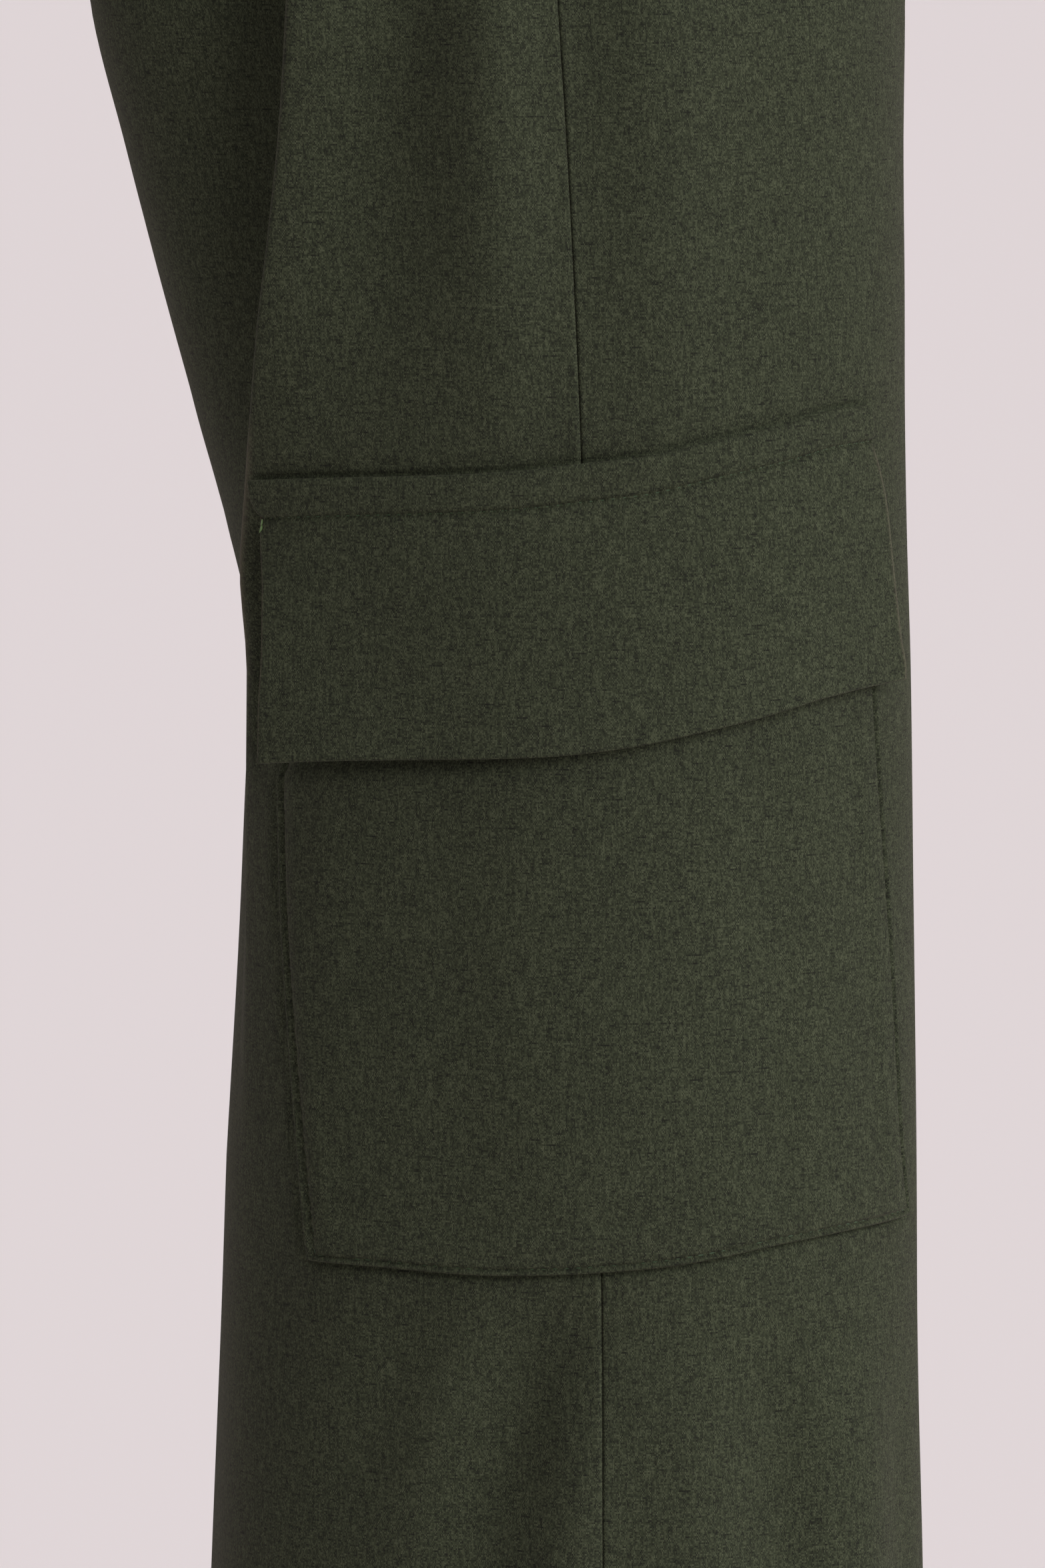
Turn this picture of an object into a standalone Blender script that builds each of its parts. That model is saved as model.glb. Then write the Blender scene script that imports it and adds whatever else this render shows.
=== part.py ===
"""Palazzo trousers, hollow as worn, with a flapped patch pocket over each side seam.

Metres, +Z up, +X to the wearer's left, -Y to the wearer's front. The origin is the
centre of the waist opening, level with the top of the waistband.

Two coordinates place everything on the cloth: drop, the distance below the top of the
waistband, and reach, the distance round the leg from its side seam, positive towards the
front. A piece starts as a flat slab of (column, row, layer), which is then bent round the leg.
"""

import math
from collections import namedtuple
from functools import lru_cache

import bmesh
import bpy
import numpy as np
from mathutils import Matrix, Vector

# Garment sizes
OUTSEAM = 1.050
BAND_DEPTH = 0.040
BODY_RISE = 0.270
HEM_TURN = 0.035

# Cloth and seams
CLOTH = 0.0012
BAND_CLOTH = 0.0024
SEAM_GAP = 0.0003
NEAR = 0.0005

# Waistband closure
BAND_OVERLAP = 0.016
BAND_UNDERLAP = 0.022
LAP_CLEAR = 0.012
LAP_RISE = 0.030
BUTTON_RADIUS = 0.0085
BUTTON_THICKNESS = 0.0030
BUTTON_TAPER = 0.92
BUTTON_RIM = 0.0021
BUTTON_DISH = 0.0006

# Fly zip: its top, how far it lies behind the cloth, and half width and depth of tapes and chain
ZIP_TOP = 0.046
ZIP_LENGTH = 0.150
ZIP_CLEAR = 0.0010
TAPE_HALF = 0.0130
TAPE_DEPTH = 0.0008
CHAIN_HALF = 0.0032
CHAIN_EDGE = 0.0005
CHAIN_DEPTH = 0.0024
SLIDER_DEPTH = 0.0045
SLIDER_START = 0.0020
SLIDER_END = 0.0140
ZIP_ROWS = (0.0, SLIDER_START, SLIDER_END, SLIDER_END + CHAIN_EDGE, 0.080, 0.115, ZIP_LENGTH)

# Patch pocket and flap: their corners on the cloth, and how far they stand off it
Corner = namedtuple("Corner", "reach drop")
POCKET = {
    "back top": Corner(-0.099, 0.424),
    "front top": Corner(0.0925, 0.403),
    "back bottom": Corner(-0.087, 0.620),
    "front bottom": Corner(0.107, 0.611),
}
POCKET_SAG = 0.004
POCKET_FULLNESS = 0.0020
FLAP = {
    "back top": Corner(-0.0955, 0.4040),
    "front top": Corner(0.0942, 0.3816),
    "back bottom": Corner(-0.1015, 0.4850),
    "front bottom": Corner(0.0995, 0.4625),
}
FLAP_CLOTH = 0.0016
FLAP_STAND_BACK = 0.0090
FLAP_STAND_FRONT = 0.0045
FLAP_MOUTH = 0.33
PATCH_LIFT = 0.0008

# Rows of facets down a leg: from and to drop, and the number of steps between them
ROW_BANDS = (
    (BAND_DEPTH + SEAM_GAP, 0.200, 5),
    (0.200, 0.248, 2),
    (0.248, BODY_RISE, 3),
    (BODY_RISE, 0.420, 5),
    (0.420, 0.520, 4),
    (0.520, OUTSEAM - HEM_TURN, 10),
    (OUTSEAM - HEM_TURN, OUTSEAM - HEM_TURN + CLOTH, 1),
    (OUTSEAM - HEM_TURN + CLOTH, OUTSEAM, 1),
)
PANEL_COLUMNS = {"front": 12, "back": 14}
PATCH_COLUMNS = 12
POCKET_ROWS = 9
FLAP_ROWS = 5
BAND_COLUMNS = 44
BAND_ROWS = 2

# How far round a section's oval is worked out, past the inseam each way, and in how many steps
TURN_REACH = 1.1 * math.pi
ARC_SAMPLES = 721

# Level sections of one half. front, back and seam are Y; outer is the half width at the side
# seam; inner is how far the half's oval passes the centre line, where it is cut, and is
# negative where the legs are apart; square is the power of the oval.
Section = namedtuple("Section", "drop front back seam outer inner square")
SECTIONS = (
    Section(0.000, -0.0950, 0.0920, 0.0000, 0.132, 0.132, 2.2),
    Section(0.040, -0.0980, 0.0950, 0.0000, 0.136, 0.136, 2.2),
    Section(0.100, -0.1070, 0.1080, -0.0040, 0.156, 0.156, 2.3),
    Section(0.170, -0.1120, 0.1200, -0.0090, 0.174, 0.174, 2.4),
    Section(0.200, -0.1132, 0.1225, -0.0110, 0.178, 0.107, 2.4),
    Section(0.225, -0.1136, 0.1222, -0.0125, 0.181, 0.060, 2.4),
    Section(0.248, -0.1140, 0.1210, -0.0140, 0.182, 0.026, 2.3),
    Section(0.263, -0.1142, 0.1195, -0.0146, 0.183, 0.008, 2.3),
    Section(0.270, -0.1144, 0.1188, -0.0150, 0.184, 0.000, 2.3),
    Section(0.310, -0.1152, 0.1100, -0.0175, 0.185, -0.007, 2.2),
    Section(0.350, -0.1164, 0.1012, -0.0195, 0.187, -0.012, 2.2),
    Section(0.385, -0.1172, 0.0930, -0.0210, 0.188, -0.015, 2.1),
    Section(0.420, -0.1180, 0.0840, -0.0220, 0.189, -0.017, 2.1),
    Section(0.460, -0.1190, 0.0765, -0.0232, 0.190, -0.018, 2.1),
    Section(0.520, -0.1195, 0.0770, -0.0248, 0.192, -0.020, 2.1),
    Section(0.630, -0.1203, 0.0800, -0.0270, 0.195, -0.022, 2.1),
    Section(0.710, -0.1222, 0.0820, -0.0275, 0.199, -0.022, 2.1),
    Section(0.850, -0.1255, 0.0865, -0.0270, 0.208, -0.018, 2.1),
    Section(1.050, -0.1300, 0.0930, -0.0260, 0.222, -0.014, 2.1),
)

# The deep fold behind each side pocket: a crest that drops sharply into a valley at the back.
# reach is the crest's place; crest and valley are heights off the plain leg.
DeepFold = namedtuple("DeepFold", "drop reach crest valley")
DEEP_FOLDS = {
    "right": (
        DeepFold(0.060, -0.056, 0.0000, 0.000),
        DeepFold(0.160, -0.063, 0.0030, 0.007),
        DeepFold(0.270, -0.073, 0.0080, 0.022),
        DeepFold(0.350, -0.087, 0.0080, 0.022),
        DeepFold(0.405, -0.100, 0.0050, 0.014),
        DeepFold(0.440, -0.112, 0.0030, 0.008),
        DeepFold(0.500, -0.120, 0.0010, 0.003),
        DeepFold(0.600, -0.122, 0.0000, 0.000),
    ),
    "left": (
        DeepFold(0.080, -0.058, 0.0000, 0.000),
        DeepFold(0.190, -0.066, 0.0025, 0.006),
        DeepFold(0.285, -0.077, 0.0060, 0.016),
        DeepFold(0.360, -0.091, 0.0060, 0.017),
        DeepFold(0.405, -0.102, 0.0040, 0.011),
        DeepFold(0.450, -0.114, 0.0020, 0.006),
        DeepFold(0.510, -0.121, 0.0005, 0.002),
        DeepFold(0.620, -0.122, 0.0000, 0.000),
    ),
}
FOLD_LEAD = 0.030
FOLD_DROP = 0.013
FOLD_RECOVER = 0.050
CREST_COLUMN = 6

# Soft troughs and ridges: ends as (drop, reach), height off the leg (a trough is below 0),
# half width, and how much of the length fades away at each end.
SoftFold = namedtuple("SoftFold", "leg top_drop top_reach end_drop end_reach height width fade")
SOFT_FOLDS = (
    SoftFold("right", 0.150, -0.020, 0.360, -0.034, -0.0050, 0.020, 0.35),
    SoftFold("right", 0.622, -0.014, 1.050, 0.012, -0.0080, 0.018, 0.16),
    SoftFold("right", 0.622, 0.054, 1.050, 0.074, 0.0060, 0.024, 0.20),
    SoftFold("right", 0.630, -0.070, 1.050, -0.086, -0.0060, 0.020, 0.20),
    SoftFold("right", 0.240, 0.150, 1.050, 0.168, -0.0080, 0.024, 0.25),
    SoftFold("right", 0.330, -0.200, 1.050, -0.190, 0.0070, 0.028, 0.25),
    SoftFold("left", 0.160, -0.016, 0.370, -0.026, -0.0040, 0.022, 0.35),
    SoftFold("left", 0.625, -0.022, 1.050, -0.002, -0.0070, 0.020, 0.18),
    SoftFold("left", 0.640, 0.060, 1.050, 0.066, 0.0070, 0.026, 0.20),
    SoftFold("left", 0.622, -0.082, 1.050, -0.072, -0.0070, 0.022, 0.20),
    SoftFold("left", 0.260, 0.142, 1.050, 0.176, -0.0070, 0.026, 0.25),
    SoftFold("left", 0.350, -0.188, 1.050, -0.206, 0.0060, 0.026, 0.25),
)

OLIVE = (0.055, 0.060, 0.040, 1.0)
HORN = (0.035, 0.030, 0.022, 1.0)
ZIP_GREEN = (0.045, 0.050, 0.035, 1.0)
OUTWARD = {"right": -1.0, "left": 1.0}


def smoothstep(value):
    """Rise from 0 to 1 with flat ends."""
    t = np.clip(value, 0.0, 1.0)
    return t * t * (3.0 - 2.0 * t)


def glide(x, knots, values):
    """A smooth curve through a table's rows that never overshoots them."""
    width = np.diff(knots)
    slope = np.diff(values) / width
    tangent = np.concatenate(([slope[0]], np.zeros(len(slope) - 1), [slope[-1]]))
    turns = slope[1:] * slope[:-1] > 0.0
    both = np.where(turns, slope[1:] + slope[:-1], 1.0)
    tangent[1:-1] = np.where(turns, 2.0 * slope[1:] * slope[:-1] / both, 0.0)
    row = np.clip(np.searchsorted(knots, x) - 1, 0, len(width) - 1)
    t = np.clip((x - knots[row]) / width[row], 0.0, 1.0)
    level = values[row] * (1.0 + 2.0 * t) * (1.0 - t) ** 2 + values[row + 1] * t * t * (3.0 - 2.0 * t)
    lean = tangent[row] * t * (1.0 - t) ** 2 - tangent[row + 1] * t * t * (1.0 - t)
    return level + width[row] * lean


def read_table(table, column, drop):
    """One column of a table at a given drop."""
    knots = np.array([row.drop for row in table])
    values = np.array([getattr(row, column) for row in table])
    return float(glide(drop, knots, values))


@lru_cache(maxsize=None)
def level_section(drop):
    """The plain oval of one half at a drop: turn, reach, distance out from the centre, Y, normal."""
    size = Section(*(read_table(SECTIONS, column, drop) for column in Section._fields))
    half_width = (size.outer + size.inner) / 2.0
    middle = (size.outer - size.inner) / 2.0
    turn = np.linspace(-TURN_REACH, TURN_REACH, ARC_SAMPLES)
    power = 2.0 / size.square
    depth = np.where(np.sin(turn) > 0.0, size.seam - size.front, size.back - size.seam)
    out = middle + half_width * np.sign(np.cos(turn)) * np.abs(np.cos(turn)) ** power
    y = size.seam - depth * np.sign(np.sin(turn)) * np.abs(np.sin(turn)) ** power
    reach = np.concatenate(([0.0], np.cumsum(np.hypot(np.diff(out), np.diff(y)))))
    reach -= reach[ARC_SAMPLES // 2]
    return turn, reach, out, y, -np.gradient(y, reach), np.gradient(out, reach)


@lru_cache(maxsize=None)
def edge_reach(drop, facing):
    """Reach of a half's far edge: the centre seam above the crotch, the inseam below it."""
    turn, reach, out, *_ = level_section(drop)
    sign = 1.0 if facing == "front" else -1.0
    if drop >= BODY_RISE:
        return float(np.interp(sign * math.pi, turn, reach))
    half = (turn * sign >= 0.0) & (np.abs(turn) <= math.pi)
    outward = np.argsort(out[half])
    return float(np.interp(0.0, out[half][outward], reach[half][outward]))


def deep_fold_height(leg, reach, drop):
    """Height of the deep fold behind the pocket, off the plain leg."""
    table = DEEP_FOLDS[leg]
    crest = read_table(table, "crest", drop)
    valley = read_table(table, "valley", drop)
    behind = read_table(table, "reach", drop) - reach
    lead = crest * math.exp(-((min(behind, 0.0) / FOLD_LEAD) ** 2))
    fall = float(smoothstep(behind / FOLD_DROP))
    recovery = math.exp(-((max(behind - FOLD_DROP, 0.0) / FOLD_RECOVER) ** 2))
    return lead * (1.0 - fall) - valley * fall * recovery


def soft_fold_height(leg, reach, drop):
    """Height of all the soft troughs and ridges together."""
    height = 0.0
    for fold in SOFT_FOLDS:
        if fold.leg != leg:
            continue
        along = (drop - fold.top_drop) / (fold.end_drop - fold.top_drop)
        middle = fold.top_reach + along * (fold.end_reach - fold.top_reach)
        ends = 1.0 if fold.end_drop >= OUTSEAM else float(smoothstep((1.0 - along) / fold.fade))
        strength = float(smoothstep(along / fold.fade)) * ends
        height += fold.height * strength * math.exp(-(((reach - middle) / fold.width) ** 2))
    return height


def skin_point(leg, reach, drop):
    """A point of the trousers' outer face."""
    _, reaches, out, y, normal_out, normal_y = level_section(drop)
    height = deep_fold_height(leg, reach, drop) + soft_fold_height(leg, reach, drop)
    away = np.interp(reach, reaches, out) + height * np.interp(reach, reaches, normal_out)
    back = np.interp(reach, reaches, y) + height * np.interp(reach, reaches, normal_y)
    return Vector((OUTWARD[leg] * float(away), float(back), -drop))


def cloth_point(leg, reach, drop, lift):
    """A point lifted off the outer face along the cloth's own normal, on its side of the centre."""
    across = skin_point(leg, reach + NEAR, drop) - skin_point(leg, reach - NEAR, drop)
    down = skin_point(leg, reach, drop + NEAR) - skin_point(leg, reach, drop - NEAR)
    normal = across.cross(down) * OUTWARD[leg]
    point = skin_point(leg, reach, drop) + normal.normalized() * lift
    point.x = OUTWARD[leg] * max(OUTWARD[leg] * point.x, SEAM_GAP / 2.0)
    return point


def slab(name, columns, rows, place, material):
    """A closed wall: a grid with two layers, each corner then set by place(column, row, layer)."""
    mesh = bmesh.new()
    bmesh.ops.create_grid(mesh, x_segments=columns, y_segments=rows, size=0.5)
    bmesh.ops.translate(mesh, verts=mesh.verts, vec=(0.5, 0.5, 0.0))
    sheet = mesh.faces[:] + mesh.edges[:] + mesh.verts[:]
    inner = bmesh.ops.extrude_face_region(mesh, geom=sheet, use_keep_orig=True)["geom"]
    layer_two = [part for part in inner if isinstance(part, bmesh.types.BMVert)]
    bmesh.ops.translate(mesh, verts=layer_two, vec=(0.0, 0.0, 1.0))
    bmesh.ops.recalc_face_normals(mesh, faces=mesh.faces)
    for corner in mesh.verts:
        column = round(corner.co.x * columns)
        row = round(corner.co.y * rows)
        corner.co = place(column, row, round(corner.co.z))
    if mesh.calc_volume(signed=True) < 0.0:
        bmesh.ops.reverse_faces(mesh, faces=mesh.faces)
    return finish(name, mesh, material)


def finish(name, mesh, material):
    """Turn a bmesh into a named, triangulated object with its material."""
    bmesh.ops.triangulate(mesh, faces=mesh.faces, quad_method="BEAUTY", ngon_method="BEAUTY")
    data = bpy.data.meshes.new(name)
    mesh.to_mesh(data)
    mesh.free()
    data.materials.append(material)
    piece = bpy.data.objects.new(name, data)
    bpy.context.scene.collection.objects.link(piece)
    return piece


def row_drops():
    """The drops of a leg panel's rows of corners."""
    drops = [ROW_BANDS[0][0]]
    for start, end, steps in ROW_BANDS:
        drops += list(np.linspace(start, end, steps + 1)[1:])
    return [round(float(drop), 6) for drop in drops]


def column_reach(leg, facing, column, drop):
    """Reach of a panel's column; on the back, two columns keep to the deep fold's crest and foot."""
    sign = 1.0 if facing == "front" else -1.0
    start = sign * SEAM_GAP / 2.0
    end = edge_reach(drop, facing) - start
    columns = PANEL_COLUMNS[facing]
    if facing == "front":
        return start + (end - start) * column / columns
    crest = read_table(DEEP_FOLDS[leg], "reach", drop)
    fixed_columns = (0, CREST_COLUMN, CREST_COLUMN + 1, columns)
    return float(np.interp(column, fixed_columns, (start, crest, crest - FOLD_DROP, end)))


def leg_panel(leg, facing, material):
    """Front or back of one leg, waist seam to hem, with the turned-up hem as a double wall."""
    drops = row_drops()

    def place(column, row, layer):
        drop = drops[row]
        wall = 2.0 * CLOTH if drop > OUTSEAM - HEM_TURN + NEAR else CLOTH
        return cloth_point(leg, column_reach(leg, facing, column, drop), drop, -wall * layer)

    return slab(f"{facing}_{leg}", PANEL_COLUMNS[facing], len(drops) - 1, place, material)


def waist_point(round_waist, drop, lift):
    """A point round the waist: 0 at the centre back, positive round the wearer's left."""
    back_edge = edge_reach(drop, "back")
    front_edge = edge_reach(drop, "front")
    half_round = front_edge - back_edge
    leg = "left" if round_waist >= 0.0 else "right"
    travelled = abs(round_waist)
    if travelled > half_round:
        leg = "right" if leg == "left" else "left"
        travelled = 2.0 * half_round - travelled
    return cloth_point(leg, back_edge + travelled, drop, lift)


def waistband(material):
    """The waistband: one strip, whose wearer's right end laps over the left at the front."""
    half_round = edge_reach(BAND_DEPTH / 2.0, "front") - edge_reach(BAND_DEPTH / 2.0, "back")
    start = -(half_round + BAND_OVERLAP)
    end = half_round + BAND_UNDERLAP

    def place(column, row, layer):
        round_waist = start + (end - start) * column / BAND_COLUMNS
        past_lap = round_waist + half_round - BAND_UNDERLAP - LAP_CLEAR
        over = 1.0 - float(smoothstep(past_lap / LAP_RISE))
        lift = (BAND_CLOTH + SEAM_GAP) * over + CLOTH / 2.0 - BAND_CLOTH * layer
        return waist_point(round_waist, BAND_DEPTH * (1.0 - row / BAND_ROWS), lift)

    return slab("waistband", BAND_COLUMNS, BAND_ROWS, place, material)


def waist_button(material):
    """The button on the lap of the waistband, at the centre front."""
    mesh = bmesh.new()
    bmesh.ops.create_cone(mesh, cap_ends=True, segments=24, radius1=BUTTON_RADIUS,
                          radius2=BUTTON_RADIUS * BUTTON_TAPER, depth=BUTTON_THICKNESS)
    front = [face for face in mesh.faces if face.calc_center_median().z > BUTTON_THICKNESS * 0.49]
    bmesh.ops.inset_region(mesh, faces=front, thickness=BUTTON_RIM)
    dish = {corner for face in front for corner in face.verts}
    bmesh.ops.translate(mesh, verts=list(dish), vec=(0.0, 0.0, -BUTTON_DISH))
    centre_front = edge_reach(BAND_DEPTH / 2.0, "back") - edge_reach(BAND_DEPTH / 2.0, "front")
    lift = CLOTH / 2.0 + BAND_CLOTH + 2.0 * SEAM_GAP
    seat = waist_point(centre_front, BAND_DEPTH / 2.0, lift)
    outward = (waist_point(centre_front, BAND_DEPTH / 2.0, 2.0 * lift) - seat).normalized()
    turned = outward.to_track_quat("Z", "Y").to_matrix().to_4x4()
    place = Matrix.Translation(seat + outward * BUTTON_THICKNESS / 2.0) @ turned
    bmesh.ops.transform(mesh, matrix=place, verts=mesh.verts)
    return finish("waist_button", mesh, material)


def fly_zip(material):
    """The zip behind the fly: tapes, chain and the slider at its closed end, in one piece."""
    half = (CHAIN_HALF, CHAIN_HALF + CHAIN_EDGE, TAPE_HALF)
    asides = [-aside for aside in reversed(half)] + list(half)

    def place(column, row, layer):
        drop = ZIP_TOP + ZIP_ROWS[row]
        aside = asides[column]
        depth = TAPE_DEPTH
        if abs(aside) <= CHAIN_HALF:
            depth = SLIDER_DEPTH if SLIDER_START <= ZIP_ROWS[row] <= SLIDER_END else CHAIN_DEPTH
        leg = "left" if aside > 0.0 else "right"
        lift = -(CLOTH + ZIP_CLEAR) - depth * layer
        return cloth_point(leg, edge_reach(drop, "front") - abs(aside), drop, lift)

    return slab("fly_zip", len(asides) - 1, len(ZIP_ROWS) - 1, place, material)


def patch_point(leg, corners, across, down, sag, lift):
    """A point on a four-cornered patch: across runs 0 to 1 from back to front, down 0 to 1."""
    top = [a + (b - a) * across for a, b in zip(corners["back top"], corners["front top"])]
    foot = [a + (b - a) * across for a, b in zip(corners["back bottom"], corners["front bottom"])]
    reach = top[0] + (foot[0] - top[0]) * down
    drop = top[1] + (foot[1] - top[1]) * down
    drop += sag * down * math.sin(math.pi * across)
    return cloth_point(leg, reach, drop, lift)


def patch_pocket(leg, material):
    """The pocket bag, sewn flat at its edges and a little full in the middle."""

    def place(column, row, layer):
        across = column / PATCH_COLUMNS
        down = row / POCKET_ROWS
        full = POCKET_FULLNESS * math.sin(math.pi * across) * math.sin(math.pi * down)
        lift = PATCH_LIFT + full + CLOTH * layer
        return patch_point(leg, POCKET, across, down, POCKET_SAG, lift)

    return slab(f"pocket_{leg}", PATCH_COLUMNS, POCKET_ROWS, place, material)


def pocket_flap(leg, material):
    """The flap over the pocket's mouth: sewn along its top, standing off at its free edge."""

    def place(column, row, layer):
        across = column / PATCH_COLUMNS
        down = row / FLAP_ROWS
        stand = FLAP_STAND_BACK + (FLAP_STAND_FRONT - FLAP_STAND_BACK) * across
        over_mouth = (CLOTH + PATCH_LIFT) * float(smoothstep(down / FLAP_MOUTH))
        lift = PATCH_LIFT + over_mouth + stand * down * down + FLAP_CLOTH * layer
        return patch_point(leg, FLAP, across, down, 0.0, lift)

    return slab(f"flap_{leg}", PATCH_COLUMNS, FLAP_ROWS, place, material)


def principled(name, colour, roughness, metallic=0.0):
    """A plain Principled material."""
    material = bpy.data.materials.new(name)
    material.use_nodes = True
    shader = material.node_tree.nodes["Principled BSDF"]
    shader.inputs["Base Color"].default_value = colour
    shader.inputs["Roughness"].default_value = roughness
    shader.inputs["Metallic"].default_value = metallic
    return material


def main():
    """Clear the scene and build every piece."""
    for old in list(bpy.data.objects):
        bpy.data.objects.remove(old, do_unlink=True)
    cloth = principled("olive_suiting", OLIVE, 0.85)
    horn = principled("horn_button", HORN, 0.45)
    zip_tape = principled("zip_tape", ZIP_GREEN, 0.7)
    for leg in OUTWARD:
        for facing in ("front", "back"):
            leg_panel(leg, facing, cloth)
        patch_pocket(leg, cloth)
        pocket_flap(leg, cloth)
    waistband(cloth)
    waist_button(horn)
    fly_zip(zip_tape)


main()
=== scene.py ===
"""Palazzo trousers in olive suiting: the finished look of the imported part.

Metres, in the part's own frame: +Z up, +X to the wearer's left, -Y to the wearer's front,
with the origin at the centre of the waist opening.

Two coordinates place everything on the cloth: drop, the distance below the top of the
waistband, and reach, the distance round the leg from its side seam, positive towards the
front. A piece of cloth starts as a flat slab of columns, rows and two layers, which is then
bent round the leg. Its UV map is in metres, so the weave keeps its size on every piece.
"""

import math
from collections import namedtuple
from functools import lru_cache

import bmesh
import bpy
import numpy as np
from mathutils import Matrix, Vector


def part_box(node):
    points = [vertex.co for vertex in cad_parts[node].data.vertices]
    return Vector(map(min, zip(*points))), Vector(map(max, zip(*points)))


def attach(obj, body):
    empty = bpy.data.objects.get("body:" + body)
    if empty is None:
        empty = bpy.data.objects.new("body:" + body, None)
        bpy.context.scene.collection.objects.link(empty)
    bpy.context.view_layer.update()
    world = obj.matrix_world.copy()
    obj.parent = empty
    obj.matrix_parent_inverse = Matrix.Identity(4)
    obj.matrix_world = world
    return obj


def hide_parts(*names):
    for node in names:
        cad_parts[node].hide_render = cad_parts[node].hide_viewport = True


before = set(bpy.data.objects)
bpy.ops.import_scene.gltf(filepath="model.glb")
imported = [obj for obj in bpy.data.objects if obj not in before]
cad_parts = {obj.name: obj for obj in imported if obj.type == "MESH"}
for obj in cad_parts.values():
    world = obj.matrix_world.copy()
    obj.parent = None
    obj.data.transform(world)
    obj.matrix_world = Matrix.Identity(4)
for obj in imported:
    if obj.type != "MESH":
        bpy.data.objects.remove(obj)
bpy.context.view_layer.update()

bl_info = {
    "name": "Palazzo Trousers",
    "version": (1, 0, 0),
    "blender": (4, 5, 0),
    "location": "View3D > Sidebar > Trousers",
    "description": "Builds the cloth, seams, stitches and fastenings of a pair of palazzo trousers",
    "category": "Object",
}

# Garment sizes, from the frame
OUTSEAM = round(-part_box("front_right")[0].z, 3)
BAND_DEPTH = round(-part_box("waistband")[0].z, 3)
BODY_RISE = 0.270
HEM_TURN = 0.035

# The waistband's thickness and its lapped end
BAND_CLOTH = 0.0024
BAND_OVERLAP = 0.016
BAND_UNDERLAP = 0.022
LAP_GAP = 0.0003
LAP_CLEAR = 0.012
LAP_RISE = 0.030
BAND_LIFT = 0.0006
THIN_EDGE = 0.04

# Button and buttonhole
BUTTON_RADIUS = 0.0085
BUTTON_THICKNESS = 0.0030
BUTTON_PROFILE = (
    (0.0, 0.0), (0.0070, 0.0), (0.0082, 0.0008), (BUTTON_RADIUS, 0.0016), (0.0081, 0.0026),
    (0.0074, BUTTON_THICKNESS), (0.0066, 0.0028), (0.0058, 0.0022), (0.0, 0.0021))
HOLE_RING = 0.0021
HOLE_RADIUS = 0.00085
BUTTONHOLE_LENGTH = 0.0210
BUTTONHOLE_WIDTH = 0.0030

# Fly zip and the curved row of stitches in front of it
ZIP_TOP = 0.046
ZIP_LENGTH = 0.150
ZIP_CLEAR = 0.0010
TAPE_HALF = 0.0130
CHAIN_HALF = 0.0026
TOOTH_PITCH = 0.0016
TOOTH_RADIUS = 0.00042
CHAIN_START = 0.015
CHAIN_DEPTH = 0.0016
TAPE_THICKNESS = 0.0008
SLIDER_ENDS = (0.002, 0.014)
SLIDER_PLATE = (0.0075, 0.0110, 0.0010)
SLIDER_PLATE_HEIGHTS = (0.0002, 0.0029)
SLIDER_POST = (0.0016, 0.0040, 0.0030)
LEG_CLOTH = 0.0012
FLY_WIDTH = 0.032
FLY_DEPTH = 0.165

# Outlines of the patches. back and front give the reach of the two sides at shares of the way
# down; top and foot give the drop of the two ends at shares of the way from back to front.
Patch = namedtuple("Patch", "back front top foot")
POCKET = Patch(
    back=((0.0, -0.0985), (0.30, -0.0982), (0.44, -0.0982), (0.55, -0.0972), (0.66, -0.0950),
          (0.86, -0.0905), (1.0, -0.0871)),
    front=((0.0, 0.0885), (0.28, 0.0916), (0.41, 0.0936), (0.62, 0.0981), (0.76, 0.1008),
           (0.88, 0.1030), (1.0, 0.1078)),
    top=((0.0, 0.4240), (1.0, 0.4030)),
    foot=((0.0, 0.6210), (0.12, 0.6212), (0.27, 0.6221), (0.39, 0.6214), (0.54, 0.6193),
          (0.72, 0.6146), (0.86, 0.6125), (1.0, 0.6120)),
)
POCKET_FULLNESS = 0.0020
POCKET_LIFT = 0.0001
POCKET_TURN = 0.0007
FLAP = Patch(
    back=((0.0, -0.0975), (0.05, -0.0971), (0.10, -0.0957), (0.13, -0.0942), (0.18, -0.0942),
          (0.37, -0.0934), (0.60, -0.0941), (0.84, -0.0954), (1.0, -0.0954)),
    front=((0.0, 0.0928), (0.11, 0.0924), (0.135, 0.0914), (0.22, 0.0929), (0.41, 0.0954),
           (0.63, 0.0963), (0.85, 0.0972), (0.95, 0.0982), (1.0, 0.0978)),
    top=((0.0, 0.4014), (0.11, 0.4001), (0.31, 0.3983), (0.41, 0.3970), (0.52, 0.3947),
         (0.60, 0.3931), (0.70, 0.3892), (0.82, 0.3853), (0.93, 0.3815), (1.0, 0.3809)),
    foot=((0.0, 0.4810), (0.045, 0.4802), (0.083, 0.4795), (0.21, 0.4782), (0.44, 0.4761), (0.545, 0.4737),
          (0.65, 0.4696), (0.77, 0.4645), (0.83, 0.4619), (0.91, 0.4598), (1.0, 0.4585)),
)
FLAP_STITCH = 0.0105
FLAP_MOUTH = 0.33
FLAP_LIFT = 0.0003
FLAP_OVER_MOUTH = 0.0020
FLAP_RIPPLE = 0.0006
FLAP_STRIP = 0.0005
FLARE_BACK = -0.052
FLARE_FRONT = 0.074

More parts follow.
